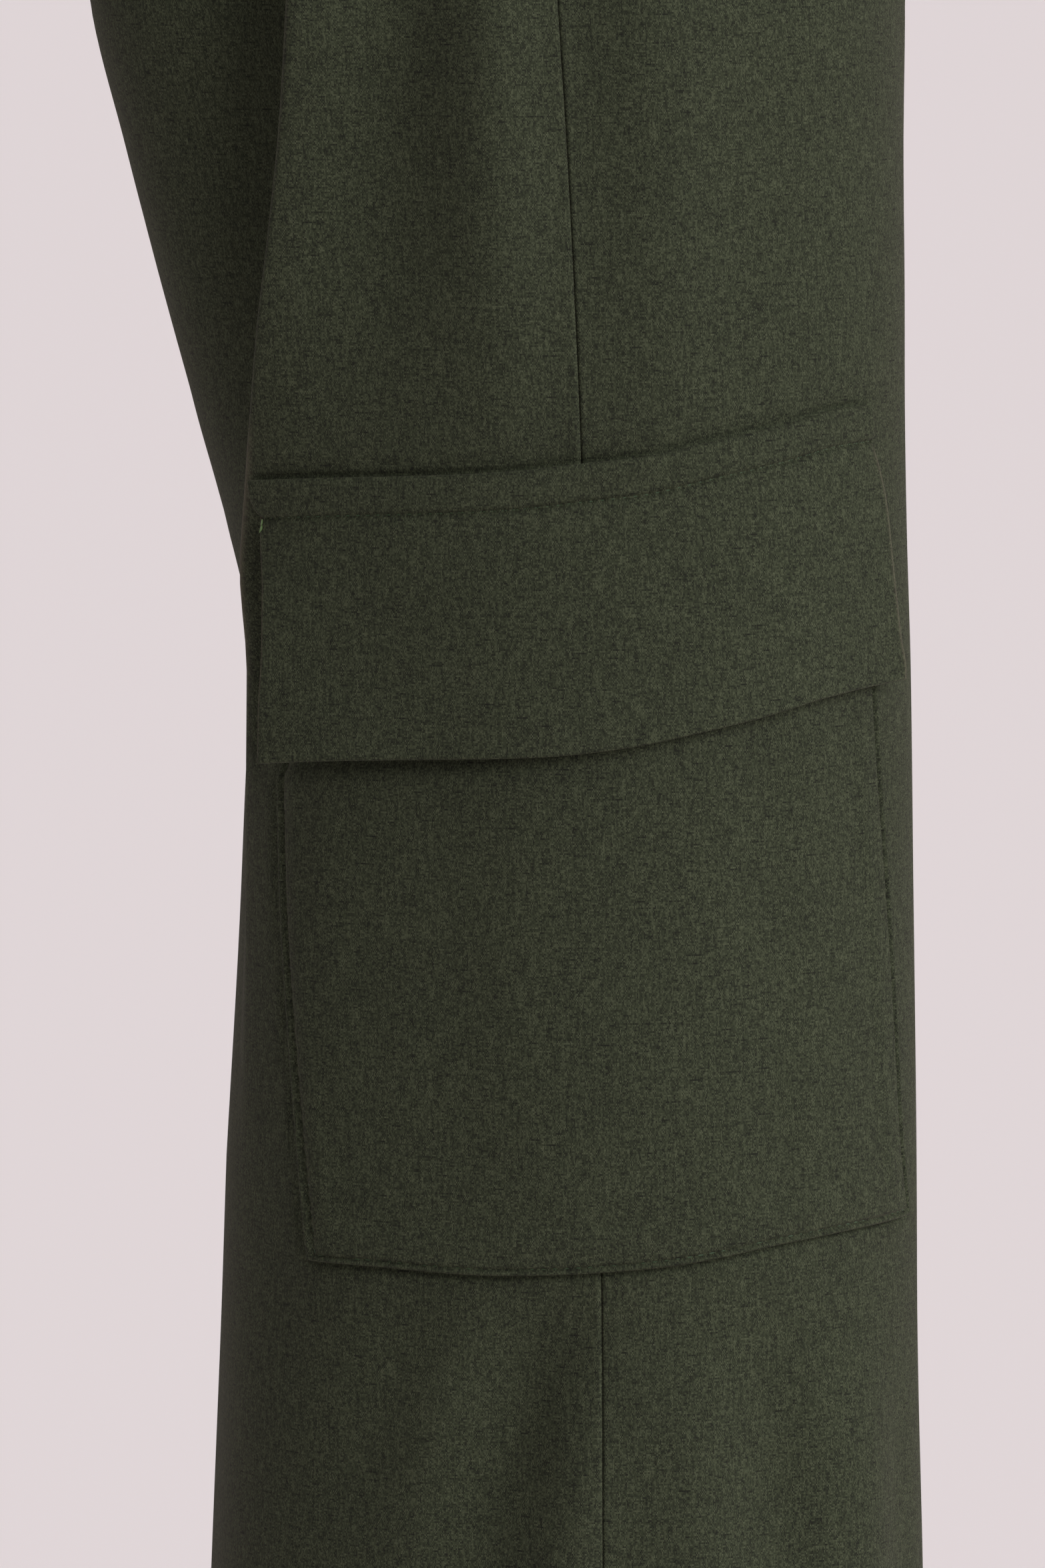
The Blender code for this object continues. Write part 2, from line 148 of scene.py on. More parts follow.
# Level sections of one half. front, back and seam are Y; outer is the half width at the side
# seam; inner is how far the half's oval passes the centre line, where it is cut, and is
# negative where the legs are apart; square is the power of the oval.
Section = namedtuple("Section", "drop front back seam outer inner square")
SECTIONS = (
    Section(0.000, -0.0950, 0.0920, 0.0000, 0.132, 0.132, 2.2),
    Section(0.040, -0.0980, 0.0950, 0.0000, 0.136, 0.136, 2.2),
    Section(0.100, -0.1070, 0.1080, -0.0040, 0.156, 0.156, 2.3),
    Section(0.170, -0.1120, 0.1200, -0.0090, 0.174, 0.174, 2.4),
    Section(0.200, -0.1132, 0.1225, -0.0110, 0.178, 0.107, 2.4),
    Section(0.225, -0.1136, 0.1222, -0.0125, 0.181, 0.060, 2.4),
    Section(0.248, -0.1140, 0.1210, -0.0140, 0.182, 0.026, 2.3),
    Section(0.263, -0.1142, 0.1195, -0.0146, 0.183, 0.008, 2.3),
    Section(0.270, -0.1144, 0.1188, -0.0150, 0.184, 0.000, 2.3),
    Section(0.310, -0.1152, 0.1100, -0.0175, 0.185, -0.007, 2.2),
    Section(0.350, -0.1164, 0.1012, -0.0195, 0.187, -0.012, 2.2),
    Section(0.385, -0.1172, 0.0930, -0.0210, 0.188, -0.015, 2.1),
    Section(0.420, -0.1180, 0.0840, -0.0220, 0.189, -0.017, 2.1),
    Section(0.460, -0.1190, 0.0765, -0.0232, 0.190, -0.018, 2.1),
    Section(0.520, -0.1195, 0.0770, -0.0248, 0.192, -0.020, 2.1),
    Section(0.630, -0.1203, 0.0800, -0.0270, 0.195, -0.022, 2.1),
    Section(0.710, -0.1222, 0.0820, -0.0275, 0.199, -0.022, 2.1),
    Section(0.850, -0.1255, 0.0865, -0.0270, 0.208, -0.018, 2.1),
    Section(1.050, -0.1300, 0.0930, -0.0260, 0.222, -0.014, 2.1),
)

# The deep fold behind each side pocket: a crest that drops sharply into a valley at the back.
# reach is the crest's place; crest and valley are heights off the plain leg.
DeepFold = namedtuple("DeepFold", "drop reach crest valley")
DEEP_FOLDS = {
    "right": (
        DeepFold(0.060, -0.056, 0.0000, 0.000),
        DeepFold(0.160, -0.063, 0.0030, 0.007),
        DeepFold(0.270, -0.073, 0.0080, 0.025),
        DeepFold(0.350, -0.087, 0.0080, 0.025),
        DeepFold(0.405, -0.100, 0.0050, 0.014),
        DeepFold(0.440, -0.112, 0.0030, 0.008),
        DeepFold(0.500, -0.120, 0.0010, 0.003),
        DeepFold(0.600, -0.122, 0.0000, 0.000),
    ),
    "left": (
        DeepFold(0.080, -0.058, 0.0000, 0.000),
        DeepFold(0.190, -0.066, 0.0025, 0.006),
        DeepFold(0.285, -0.077, 0.0060, 0.016),
        DeepFold(0.360, -0.091, 0.0060, 0.017),
        DeepFold(0.405, -0.102, 0.0040, 0.011),
        DeepFold(0.450, -0.114, 0.0020, 0.006),
        DeepFold(0.510, -0.121, 0.0005, 0.002),
        DeepFold(0.620, -0.122, 0.0000, 0.000),
    ),
}
FOLD_LEAD = 0.030
FOLD_DROP = 0.013
FOLD_RECOVER = 0.050

# Soft troughs and ridges: ends as (drop, reach), height off the leg (a trough is below 0),
# half width, and how much of the length fades away at each end.
SoftFold = namedtuple("SoftFold", "top_drop top_reach end_drop end_reach height width fade")
SOFT_FOLDS = {
    "right": (
        SoftFold(0.080, -0.006, 0.425, -0.080, -0.0064, 0.020, 0.35),
        SoftFold(0.080, -0.015, 0.420, -0.024, 0.0086, 0.017, 0.35),
        SoftFold(0.080, 0.031, 0.425, 0.023, 0.0044, 0.018, 0.35),
        SoftFold(0.625, 0.027, 1.050, 0.034, 0.0026, 0.015, 0.20),
        SoftFold(0.610, -0.010, 0.880, -0.084, -0.0082, 0.017, 0.20),
        SoftFold(0.622, -0.008, 0.900, -0.016, 0.0028, 0.010, 0.22),
        SoftFold(0.780, -0.004, 1.050, 0.012, -0.0080, 0.018, 0.35),
        SoftFold(0.622, 0.074, 1.050, 0.080, 0.0048, 0.019, 0.16),
        SoftFold(0.620, 0.046, 0.860, 0.062, -0.0036, 0.014, 0.22),
        SoftFold(0.630, -0.070, 1.050, -0.086, -0.0060, 0.020, 0.50),
        SoftFold(0.240, 0.150, 1.050, 0.168, -0.0080, 0.024, 0.25),
        SoftFold(0.330, -0.200, 1.050, -0.190, 0.0070, 0.028, 0.25),
        SoftFold(0.410, -0.081, 0.660, -0.083, 0.0022, 0.013, 0.22),
        SoftFold(0.420, -0.044, 0.640, -0.038, -0.0018, 0.018, 0.25),
        SoftFold(0.440, 0.049, 0.640, 0.052, -0.0010, 0.011, 0.25),
        SoftFold(0.300, 0.040, 0.388, 0.050, -0.0007, 0.016, 0.50),
        SoftFold(0.616, -0.050, 0.700, -0.074, -0.0024, 0.012, 0.35),
        SoftFold(0.640, 0.098, 0.760, 0.104, -0.0012, 0.010, 0.45),
    ),
    "left": (
        SoftFold(0.090, -0.009, 0.420, -0.070, -0.0070, 0.022, 0.35),
        SoftFold(0.086, -0.012, 0.400, -0.022, 0.0046, 0.019, 0.35),
        SoftFold(0.090, 0.032, 0.410, 0.026, 0.0030, 0.018, 0.35),
        SoftFold(0.632, 0.025, 1.050, 0.030, 0.0022, 0.015, 0.20),
        SoftFold(0.612, -0.016, 0.860, -0.070, -0.0058, 0.018, 0.22),
        SoftFold(0.760, -0.010, 1.050, -0.002, -0.0070, 0.020, 0.35),
        SoftFold(0.628, 0.070, 1.050, 0.072, 0.0056, 0.022, 0.18),
        SoftFold(0.626, 0.042, 0.840, 0.052, -0.0028, 0.014, 0.22),
        SoftFold(0.622, -0.082, 1.050, -0.072, -0.0070, 0.022, 0.45),
        SoftFold(0.260, 0.142, 1.050, 0.176, -0.0070, 0.026, 0.25),
        SoftFold(0.350, -0.188, 1.050, -0.206, 0.0060, 0.026, 0.25),
        SoftFold(0.416, -0.080, 0.650, -0.080, 0.0020, 0.014, 0.22),
        SoftFold(0.430, -0.042, 0.640, -0.040, -0.0015, 0.018, 0.25),
        SoftFold(0.310, 0.044, 0.386, 0.048, -0.0008, 0.014, 0.50),
        SoftFold(0.620, -0.046, 0.716, -0.062, -0.0020, 0.011, 0.35),
        SoftFold(0.636, 0.094, 0.744, 0.102, -0.0010, 0.011, 0.45),
    ),
}

OUTWARD = {"right": -1.0, "left": 1.0}

# The steps of the grid on which the plain leg is worked out, and of the sums that give normals
GRID_STEP = 0.001
GRID_REACH = 0.400
GRID_SPARE = 0.006
NEAR = 0.0005
TURN_REACH = 1.1 * math.pi
ARC_SAMPLES = 721

# Cloth beside a seam: it swells a little, then turns down into the seam over a short width
SEAM_GAP = 0.00002
SEAM_ALLOWANCE = 0.010
CENTRE_FADE = 0.012
CROTCH_FADE = 0.006
SEAM_DEPTH = 0.0010
SEAM_TURN = 0.0010
SWELL_WIDTH = 0.0045
PUCKER_PITCH = 0.0125

# Fine columns and rows beside an edge, as shares of the strip that they fill
EDGE_STRIP = 0.006
EDGE_SHARES = (0.0, 0.05, 0.12, 0.22, 0.36, 0.55, 0.77)

# Weave: distance between threads of the warp, which runs down the leg, and of the weft
WARP_PITCH = 0.00032
WEFT_PITCH = 0.00046

# Stage: the floor's distance below the hems, and the camera, in metres
FLOOR_BELOW = 0.045
FLOOR_RADIUS = 300.0
CAMERA_PLACE = (-3.10, -0.005, -0.18)
CAMERA_AIM = (-0.10, -0.005, -0.4935)

# The way towards each light, and how broad it is in degrees
KEY_LIGHT = ((-0.26, -0.97, 0.45), 34.0)
SIDE_LIGHT = ((-0.82, -0.57, 0.45), 34.0)
TOP_LIGHT = ((0.05, 0.05, 1.00), 60.0)

# Where on the cloth's own coordinates the pockets and flaps are cut, clear of the panels
POCKET_CUT = (1.0, 0.7)
FLAP_CUT = (2.0, 0.5)

CLOTH_UV = "cloth"
# Point attribute with the share of painted highlight: a light tint along the flap's edges and the deep fold's
# crest
CLOTH_PAINTED_HIGHLIGHT = "painted_highlight"


# ---------------------------------------------------------------- sizes and colours to change


class TrouserSizes(bpy.types.PropertyGroup):
    """Sizes of the cloth and its sewing."""

    cloth_thickness: bpy.props.FloatProperty(
        name="Cloth thickness", description="Thickness of one layer of suiting",
        default=0.0011, min=0.0006, max=0.0020, subtype="DISTANCE", unit="LENGTH", precision=5)
    flap_thickness: bpy.props.FloatProperty(
        name="Flap thickness", description="Thickness of the pocket flap's two layers together",
        default=0.0017, min=0.0010, max=0.0030, subtype="DISTANCE", unit="LENGTH", precision=5)
    flap_stand: bpy.props.FloatProperty(
        name="Flap stand", description="How far the flap's lower edge stands off the pocket",
        default=0.0030, min=0.0, max=0.0100, subtype="DISTANCE", unit="LENGTH", precision=4)
    flap_flare: bpy.props.FloatProperty(
        name="Flap flare", description="How straight the flap's back end goes on past the leg's curve",
        default=1.0, min=0.0, max=1.5, subtype="FACTOR")
    stitch_pitch: bpy.props.FloatProperty(
        name="Stitch length", description="Distance from one needle hole to the next",
        default=0.0031, min=0.0015, max=0.0050, subtype="DISTANCE", unit="LENGTH", precision=5)
    thread_radius: bpy.props.FloatProperty(
        name="Thread radius", description="Half the thickness of the sewing thread",
        default=0.00021, min=0.0001, max=0.0004, subtype="DISTANCE", unit="LENGTH", precision=6)


class TrouserColours(bpy.types.PropertyGroup):
    """Colours of the cloth, thread and fastenings."""

    yarn_dark: bpy.props.FloatVectorProperty(
        name="Dark yarn", description="Darkest of the yarns in the mixed cloth",
        default=(0.011, 0.012, 0.0075), min=0.0, max=1.0, subtype="COLOR")
    yarn_olive: bpy.props.FloatVectorProperty(
        name="Olive yarn", description="Main colour of the cloth",
        default=(0.0315, 0.0375, 0.0200), min=0.0, max=1.0, subtype="COLOR")
    yarn_light: bpy.props.FloatVectorProperty(
        name="Light yarn", description="Lightest of the yarns in the mixed cloth",
        default=(0.071, 0.080, 0.046), min=0.0, max=1.0, subtype="COLOR")
    # Painted highlight: a light brown tint along the flap's edges and the deep fold's crest, standing in for
    # light caught at those edges
    painted_highlight_colour: bpy.props.FloatVectorProperty(
        name="Highlight edge", description="Highlight tint along the flap's edges and the fold behind it",
        default=(0.130, 0.112, 0.080), min=0.0, max=1.0, subtype="COLOR")
    thread: bpy.props.FloatVectorProperty(
        name="Thread", description="Sewing thread, a little greener than the cloth",
        default=(0.034, 0.068, 0.027), min=0.0, max=1.0, subtype="COLOR")
    tack: bpy.props.FloatVectorProperty(
        name="Bar tack", description="Bright green thread at the flap's back corner",
        default=(0.108, 0.195, 0.054), min=0.0, max=1.0, subtype="COLOR")
    horn: bpy.props.FloatVectorProperty(
        name="Button", description="Dark horn of the waistband's button",
        default=(0.030, 0.026, 0.018), min=0.0, max=1.0, subtype="COLOR")
    zip_green: bpy.props.FloatVectorProperty(
        name="Zip", description="Tape and coil of the fly zip",
        default=(0.040, 0.045, 0.030), min=0.0, max=1.0, subtype="COLOR")


class StageSettings(bpy.types.PropertyGroup):
    """Floor, background and lights."""

    floor: bpy.props.FloatVectorProperty(
        name="Floor", description="Colour of the pale floor",
        default=(0.93, 0.845, 0.857), min=0.0, max=1.0, subtype="COLOR")
    background: bpy.props.FloatVectorProperty(
        name="Background", description="Colour of the pale surroundings",
        default=(0.753, 0.680, 0.690), min=0.0, max=1.0, subtype="COLOR")
    horizon: bpy.props.FloatProperty(
        name="Horizon", description="Brightness of the surroundings all round, as a share",
        default=0.18, min=0.0, max=1.0, subtype="FACTOR")
    overhead: bpy.props.FloatProperty(
        name="Overhead", description="Brightness of the surroundings overhead, as a share",
        default=0.10, min=0.0, max=1.0, subtype="FACTOR")
    key_strength: bpy.props.FloatProperty(
        name="Key light", description="Strength of the soft light from the wearer's front",
        default=1.5, min=0.0, max=20.0)
    side_strength: bpy.props.FloatProperty(
        name="Side light", description="Strength of the soft light from between the front and the side",
        default=1.65, min=0.0, max=20.0)
    top_strength: bpy.props.FloatProperty(
        name="Top light", description="Strength of the soft light from above",
        default=1.05, min=0.0, max=20.0)
    lens: bpy.props.FloatProperty(
        name="Lens", description="Focal length of the camera", default=241.6, min=20.0, max=500.0)


# ---------------------------------------------------------------- the form of the leg


def smoothstep(value):
    """Rise from 0 to 1 with flat ends."""
    t = np.clip(value, 0.0, 1.0)
    return t * t * (3.0 - 2.0 * t)


def rounded(distance, radius):
    """How thick an edge is, from 0 at the edge itself to 1 at the given radius from it."""
    t = 1.0 - np.clip(distance / radius, 0.0, 1.0)
    return np.sqrt(1.0 - t * t)


def bell(distance, width):
    """A soft bump of height 1."""
    return np.exp(-((distance / width) ** 2))


def window(value, start, rise, end, fall):
    """1 between start and end, with soft ends of the given lengths inside them."""
    return smoothstep((value - start) / rise) * smoothstep((end - value) / fall)


def glide(x, knots, values):
    """A smooth curve through a table's rows that never overshoots them."""
    width = np.diff(knots)
    slope = np.diff(values) / width
    tangent = np.concatenate(([slope[0]], np.zeros(len(slope) - 1), [slope[-1]]))
    turns = slope[1:] * slope[:-1] > 0.0
    both = np.where(turns, slope[1:] + slope[:-1], 1.0)
    tangent[1:-1] = np.where(turns, 2.0 * slope[1:] * slope[:-1] / both, 0.0)
    row = np.clip(np.searchsorted(knots, x) - 1, 0, len(width) - 1)
    t = np.clip((x - knots[row]) / width[row], 0.0, 1.0)
    level = values[row] * (1.0 + 2.0 * t) * (1.0 - t) ** 2 + values[row + 1] * t * t * (3.0 - 2.0 * t)
    lean = tangent[row] * t * (1.0 - t) ** 2 - tangent[row + 1] * t * t * (1.0 - t)
    return level + width[row] * lean


def read_table(table, column, drop):
    """One column of a table at the given drops."""
    knots = np.array([row.drop for row in table])
    values = np.array([getattr(row, column) for row in table])
    return glide(np.asarray(drop, float), knots, values)


@lru_cache(maxsize=None)
def grid_lines():
    """Drops and reaches at which the plain leg is worked out."""
    drops = np.arange(-GRID_SPARE, OUTSEAM + GRID_SPARE, GRID_STEP)
    reaches = np.arange(-GRID_REACH, GRID_REACH + GRID_STEP / 2.0, GRID_STEP)
    return drops, reaches


@lru_cache(maxsize=None)
def plain_leg():
    """The plain leg on the grid (distance out, Y, normal), and each panel's far edge at each drop."""
    drops, reaches = grid_lines()
    turn = np.linspace(-TURN_REACH, TURN_REACH, ARC_SAMPLES)
    cosine, sine = np.cos(turn), np.sin(turn)
    rows = []
    edges = {"front": [], "back": []}
    for drop in drops:
        size = Section(*(float(read_table(SECTIONS, column, drop)) for column in Section._fields))
        half_width = (size.outer + size.inner) / 2.0
        middle = (size.outer - size.inner) / 2.0
        power = 2.0 / size.square
        depth = np.where(sine > 0.0, size.seam - size.front, size.back - size.seam)
        out = middle + half_width * np.sign(cosine) * np.abs(cosine) ** power
        y = size.seam - depth * np.sign(sine) * np.abs(sine) ** power
        reach = np.concatenate(([0.0], np.cumsum(np.hypot(np.diff(out), np.diff(y)))))
        reach -= reach[ARC_SAMPLES // 2]
        shape = (out, y, -np.gradient(y, reach), np.gradient(out, reach))
        rows.append(np.stack([np.interp(reaches, reach, values) for values in shape], axis=-1))
        for facing, sign in (("front", 1.0), ("back", -1.0)):
            half = (turn * sign >= 0.0) & (np.abs(turn) <= math.pi)
            outward = np.argsort(out[half])
            centre = np.interp(0.0, out[half][outward], reach[half][outward])
            inseam = np.interp(sign * math.pi, turn, reach)
            edges[facing].append(inseam if drop >= BODY_RISE else centre)
    return np.array(rows), edges


def edge_reach(drop, facing):
    """Reach of a panel's far edge: the centre seam above the crotch, the inseam below it."""
    drops, _ = grid_lines()
    return np.interp(drop, drops, plain_leg()[1][facing])


def deep_fold_height(leg, reach, drop):
    """Height of the deep fold behind the pocket, off the plain leg."""
    table = DEEP_FOLDS[leg]
    crest = read_table(table, "crest", drop)
    valley = read_table(table, "valley", drop)
    behind = read_table(table, "reach", drop) - reach
    lead = crest * bell(np.minimum(behind, 0.0), FOLD_LEAD)
    fall = smoothstep(behind / FOLD_DROP)
    recovery = bell(np.maximum(behind - FOLD_DROP, 0.0), FOLD_RECOVER)
    return lead * (1.0 - fall) - valley * fall * recovery


def soft_fold_height(leg, reach, drop):
    """Height of all the soft troughs and ridges together."""
    height = np.zeros(np.broadcast(reach, drop).shape)
    for fold in SOFT_FOLDS[leg]:
        along = (drop - fold.top_drop) / (fold.end_drop - fold.top_drop)
        middle = fold.top_reach + along * (fold.end_reach - fold.top_reach)
        ends = 1.0 if fold.end_drop >= OUTSEAM else smoothstep((1.0 - along) / fold.fade)
        start = smoothstep(along / fold.fade)
        height = height + fold.height * start * ends * bell(reach - middle, fold.width)
    return height


def skin(leg, reach, drop):
    """Points of the trousers' outer face, as an array with X, Y and Z last."""
    drops, reaches = grid_lines()
    grid, _ = plain_leg()
    row = np.clip((drop - drops[0]) / GRID_STEP, 0.0, len(drops) - 1.001)
    column = np.clip((reach - reaches[0]) / GRID_STEP, 0.0, len(reaches) - 1.001)
    row, column = np.broadcast_arrays(row, column)
    top, side = row.astype(int), column.astype(int)
    down, across = (row - top)[..., None], (column - side)[..., None]
    upper = grid[top, side] * (1.0 - across) + grid[top, side + 1] * across
    lower = grid[top + 1, side] * (1.0 - across) + grid[top + 1, side + 1] * across
    out, y, normal_out, normal_y = np.moveaxis(upper * (1.0 - down) + lower * down, -1, 0)
    height = deep_fold_height(leg, reach, drop) + soft_fold_height(leg, reach, drop)
    level = np.broadcast_to(-np.asarray(drop, float), out.shape)
    return np.stack((OUTWARD[leg] * (out + height * normal_out), y + height * normal_y, level), axis=-1)


def outward_normal(leg, reach, drop):
    """Unit normals of the outer face."""
    across = skin(leg, reach + NEAR, drop) - skin(leg, reach - NEAR, drop)
    down = skin(leg, reach, drop + NEAR) - skin(leg, reach, drop - NEAR)
    normal = np.cross(across, down) * OUTWARD[leg]
    return normal / np.linalg.norm(normal, axis=-1, keepdims=True)


def cloth_points(leg, reach, drop, lift):
    """Points lifted off the outer face along its normal, kept on their own side of the centre."""
    reach, drop, lift = np.broadcast_arrays(reach, drop, lift)
    points = skin(leg, reach, drop) + outward_normal(leg, reach, drop) * lift[..., None]
    points[..., 0] = OUTWARD[leg] * np.maximum(OUTWARD[leg] * points[..., 0], SEAM_GAP / 2.0)
    return points


# ---------------------------------------------------------------- slabs of cloth


def slab(name, columns, rows, place, material):
    """A closed wall of cloth: a grid with two layers, bent by place(column, row, layer).

    place works on whole arrays and gives the corners' points and their UV, in metres, and may
    also give how strong a painted highlight each corner has, from 0 to 1.
    """
    sheet = bmesh.new()
    bmesh.ops.create_grid(sheet, x_segments=columns, y_segments=rows, size=0.5)
    bmesh.ops.translate(sheet, verts=sheet.verts, vec=(0.5, 0.5, 0.0))
    whole = sheet.faces[:] + sheet.edges[:] + sheet.verts[:]
    inner = bmesh.ops.extrude_face_region(sheet, geom=whole, use_keep_orig=True)["geom"]
    layer_two = [part for part in inner if isinstance(part, bmesh.types.BMVert)]
    bmesh.ops.translate(sheet, verts=layer_two, vec=(0.0, 0.0, 1.0))
    bmesh.ops.recalc_face_normals(sheet, faces=sheet.faces)
    data = bpy.data.meshes.new(name)
    sheet.to_mesh(data)
    sheet.free()

    flat = np.empty(len(data.vertices) * 3, np.float32)
    data.vertices.foreach_get("co", flat)
    column, row, layer = np.rint(flat.reshape(-1, 3) * (columns, rows, 1)).astype(int).T
    points, uv, *painted_highlight = place(column, row, layer)
    data.vertices.foreach_set("co", points.astype(np.float32).ravel())
    corners = np.empty(len(data.loops), np.int32)
    data.loops.foreach_get("vertex_index", corners)
    data.uv_layers.new(name=CLOTH_UV)
    data.uv_layers[CLOTH_UV].data.foreach_set("uv", uv[corners].astype(np.float32).ravel())
    # Store the painted highlight share on the points, for the cloth's material
    for values in painted_highlight:
        data.attributes.new(CLOTH_PAINTED_HIGHLIGHT, "FLOAT", "POINT").data.foreach_set("value", values.astype(np.float32))
    if signed_volume(points, corners) < 0.0:
        data.flip_normals()
    data.shade_smooth()
    data.set_sharp_from_angle(angle=math.radians(60.0))
    data.materials.append(material)
    return link(name, data)


def signed_volume(points, corners):
    """Volume inside a shell of quads, negative where its faces point inwards."""
    a, b, c, d = (points[corners[side::4]] for side in range(4))
    return float(np.einsum("ij,ij->", a, np.cross(b, c) + np.cross(c, d))) / 6.0


def link(name, data):
    """A new object on the root body that holds the given mesh."""
    piece = bpy.data.objects.new(name, data)
    bpy.context.scene.collection.objects.link(piece)
    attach(piece, "root")
    return piece


def finish(name, shape, material, crease=40.0):
    """Turn a bmesh into a smooth-shaded object of one material."""
    data = bpy.data.meshes.new(name)
    shape.to_mesh(data)
    shape.free()
    data.shade_smooth()
    data.set_sharp_from_angle(angle=math.radians(crease))
    data.materials.append(material)
    return link(name, data)


def marks_between(spans):
    """(span, share) of every line of a grid: the first and last spans are graded, the rest even."""
    marks = [(0, share) for share in EDGE_SHARES]
    for span, count in enumerate(spans, start=1):
        marks += [(span, step / count) for step in range(count)]
    last = len(spans) + 1
    marks += [(last, 0.0)] + [(last, 1.0 - share) for share in reversed(EDGE_SHARES)]
    return np.array([span for span, _ in marks]), np.array([share for _, share in marks])


def along_marks(marks, knots):
    """Places of a grid's lines between knots, which may be arrays with the knots last."""
    span, share = marks
    knots = np.asarray(knots, float)
    return knots[..., span] * (1.0 - share) + knots[..., span + 1] * share


def pucker(along, seed):
    """Uneven little waves along a seam, about 1 high."""
    phase = 2.0 * math.pi * along / PUCKER_PITCH
    return np.sin(phase + 1.7 * np.sin(phase * 0.23 + seed)) * (0.6 + 0.4 * np.sin(phase * 0.11 + 2.0 * seed))


def seam_swell(distance, swell, along, seed):
    """Lift of the cloth beside a seam, where it swells and waves a little."""
    return (swell + 0.00006 * pucker(along, seed)) * bell(distance, SWELL_WIDTH)


def seam_turn(distance):
    """How far the cloth has turned down into a seam."""
    return SEAM_DEPTH * (1.0 - rounded(distance, SEAM_TURN))


def slope_undulation(leg, reach, drop):
    """Slight waves all over the hanging cloth."""
    seed = 0.7 if leg == "right" else 2.9
    wave = np.sin(reach / 0.0105 + 1.4 * np.sin(drop / 0.043 + seed) + seed)
    wave = wave + 0.8 * np.sin(drop / 0.0210 + 1.8 * np.sin(reach / 0.021 - seed))
    return 0.00010 * wave


# Where the cloth is pulled in: the patch, its side, how far past it, how deep and how wide
PULLED_IN = (
    (FLAP, "top", -0.0016, 0.0007, 0.0030),
    (FLAP, "top", -0.0002, 0.0009, 0.0010),
    (POCKET, "foot", 0.0010, 0.0005, 0.0020),
    (POCKET, "foot", 0.0003, 0.0008, 0.0009),
)


# Hollows along a line: how deep (or how strong a painted highlight), how far past the line, and half width
Hollow = namedtuple("Hollow", "depth past width")
BEHIND_FLAP = Hollow(0.0046, 0.0088, 0.0046)
BELOW_FLAP = Hollow(0.0026, -0.0010, 0.0040)
BESIDE_POCKET = Hollow(0.0021, -0.0013, 0.0016)
# Painted highlight along the deep fold's crest, where light catches the fold's edge
CREST_PAINTED_HIGHLIGHT = Hollow(0.7, 0.0008, 0.0016)


def hollow(kind, distance):
    """Depth of a hollow at a distance from the line that it follows."""
    return kind.depth * bell(distance - kind.past, kind.width)


def pulled_in(reach, drop):
    """How far the leg's cloth is drawn in beside the flap's top edge and the pocket's foot."""
    depth = np.zeros(np.broadcast(reach, drop).shape)
    for patch, side, past, deep, width in PULLED_IN:
        share = 0.0 if side == "top" else 1.0
        back, front = read_side(patch.back, share), read_side(patch.front, share)
        across = (reach - back) / (front - back)
        edge = read_side(getattr(patch, side), across) + past
        ends = window(across, -0.02, 0.05, 1.02, 0.05)
        depth = depth + deep * bell(drop - edge, width) * ends
    return depth


def tucked_in(leg, reach, drop):
    """How far the cloth is tucked in behind the flap's back end, and under the back of its foot."""
    before = reach - read_table(DEEP_FOLDS[leg], "reach", drop)
    behind = hollow(BEHIND_FLAP, before) * window(drop, 0.404, 0.014, 0.486, 0.016)
    back, front = read_side(FLAP.back, 1.0), read_side(FLAP.front, 1.0)
    across = (reach - back) / (front - back)
    ends = window(across, -0.10, 0.07, 0.66, 0.40)
    below = hollow(BELOW_FLAP, drop - read_side(FLAP.foot, across)) * ends
    return behind + below


def beside_pocket(reach, drop):
    """How far the leg's cloth is drawn in beside the pocket's back edge."""
    top, foot = read_side(POCKET.top, 0.0), read_side(POCKET.foot, 0.0)
    edge = read_side(POCKET.back, (drop - top) / (foot - top))
    return hollow(BESIDE_POCKET, reach - edge) * window(drop, 0.440, 0.030, foot + 0.001, 0.005)


def crest_painted_highlight(leg, reach, drop):
    """How strong the painted highlight is along the deep fold's crest beside the pocket's flap."""
    behind = read_table(DEEP_FOLDS[leg], "reach", drop) - reach
    return hollow(CREST_PAINTED_HIGHLIGHT, behind) * window(drop, 0.380, 0.020, 0.476, 0.030)


# ---------------------------------------------------------------- leg panels


PANEL_SPANS = {"front": (92,), "back": (30, 24, 54)}
PANEL_SWELL = {"front": -0.00012, "back": 0.00034}
PANEL_KNOTS = (0.376, 0.407, 0.609, 0.627)
PANEL_ROW_SPANS = (68, 60, 24, 34, 84, 1, 8)


def panel_reaches(leg, facing, drop):
    """Reaches of a panel's columns at the given drops, with the columns last."""
    sign = 1.0 if facing == "front" else -1.0
    start = np.full(np.shape(drop), sign * SEAM_GAP / 2.0)
    end = edge_reach(drop, facing) - start
    knots = [start, start + sign * EDGE_STRIP, end - sign * EDGE_STRIP, end]
    if facing == "back":
        crest = read_table(DEEP_FOLDS[leg], "reach", drop)
        knots[2:2] = [crest + EDGE_STRIP, crest - FOLD_DROP - EDGE_STRIP]
    return along_marks(marks_between(PANEL_SPANS[facing]), np.stack(knots, axis=-1))


def panel_drops():
    """Drops of a panel's rows, from the waist seam to the hem's fold."""
    top = BAND_DEPTH + SEAM_GAP
    turned = OUTSEAM - HEM_TURN
    knots = (top, top + EDGE_STRIP, *PANEL_KNOTS, turned, turned + 0.0004, OUTSEAM - EDGE_STRIP, OUTSEAM)
    return along_marks(marks_between(PANEL_ROW_SPANS), knots)


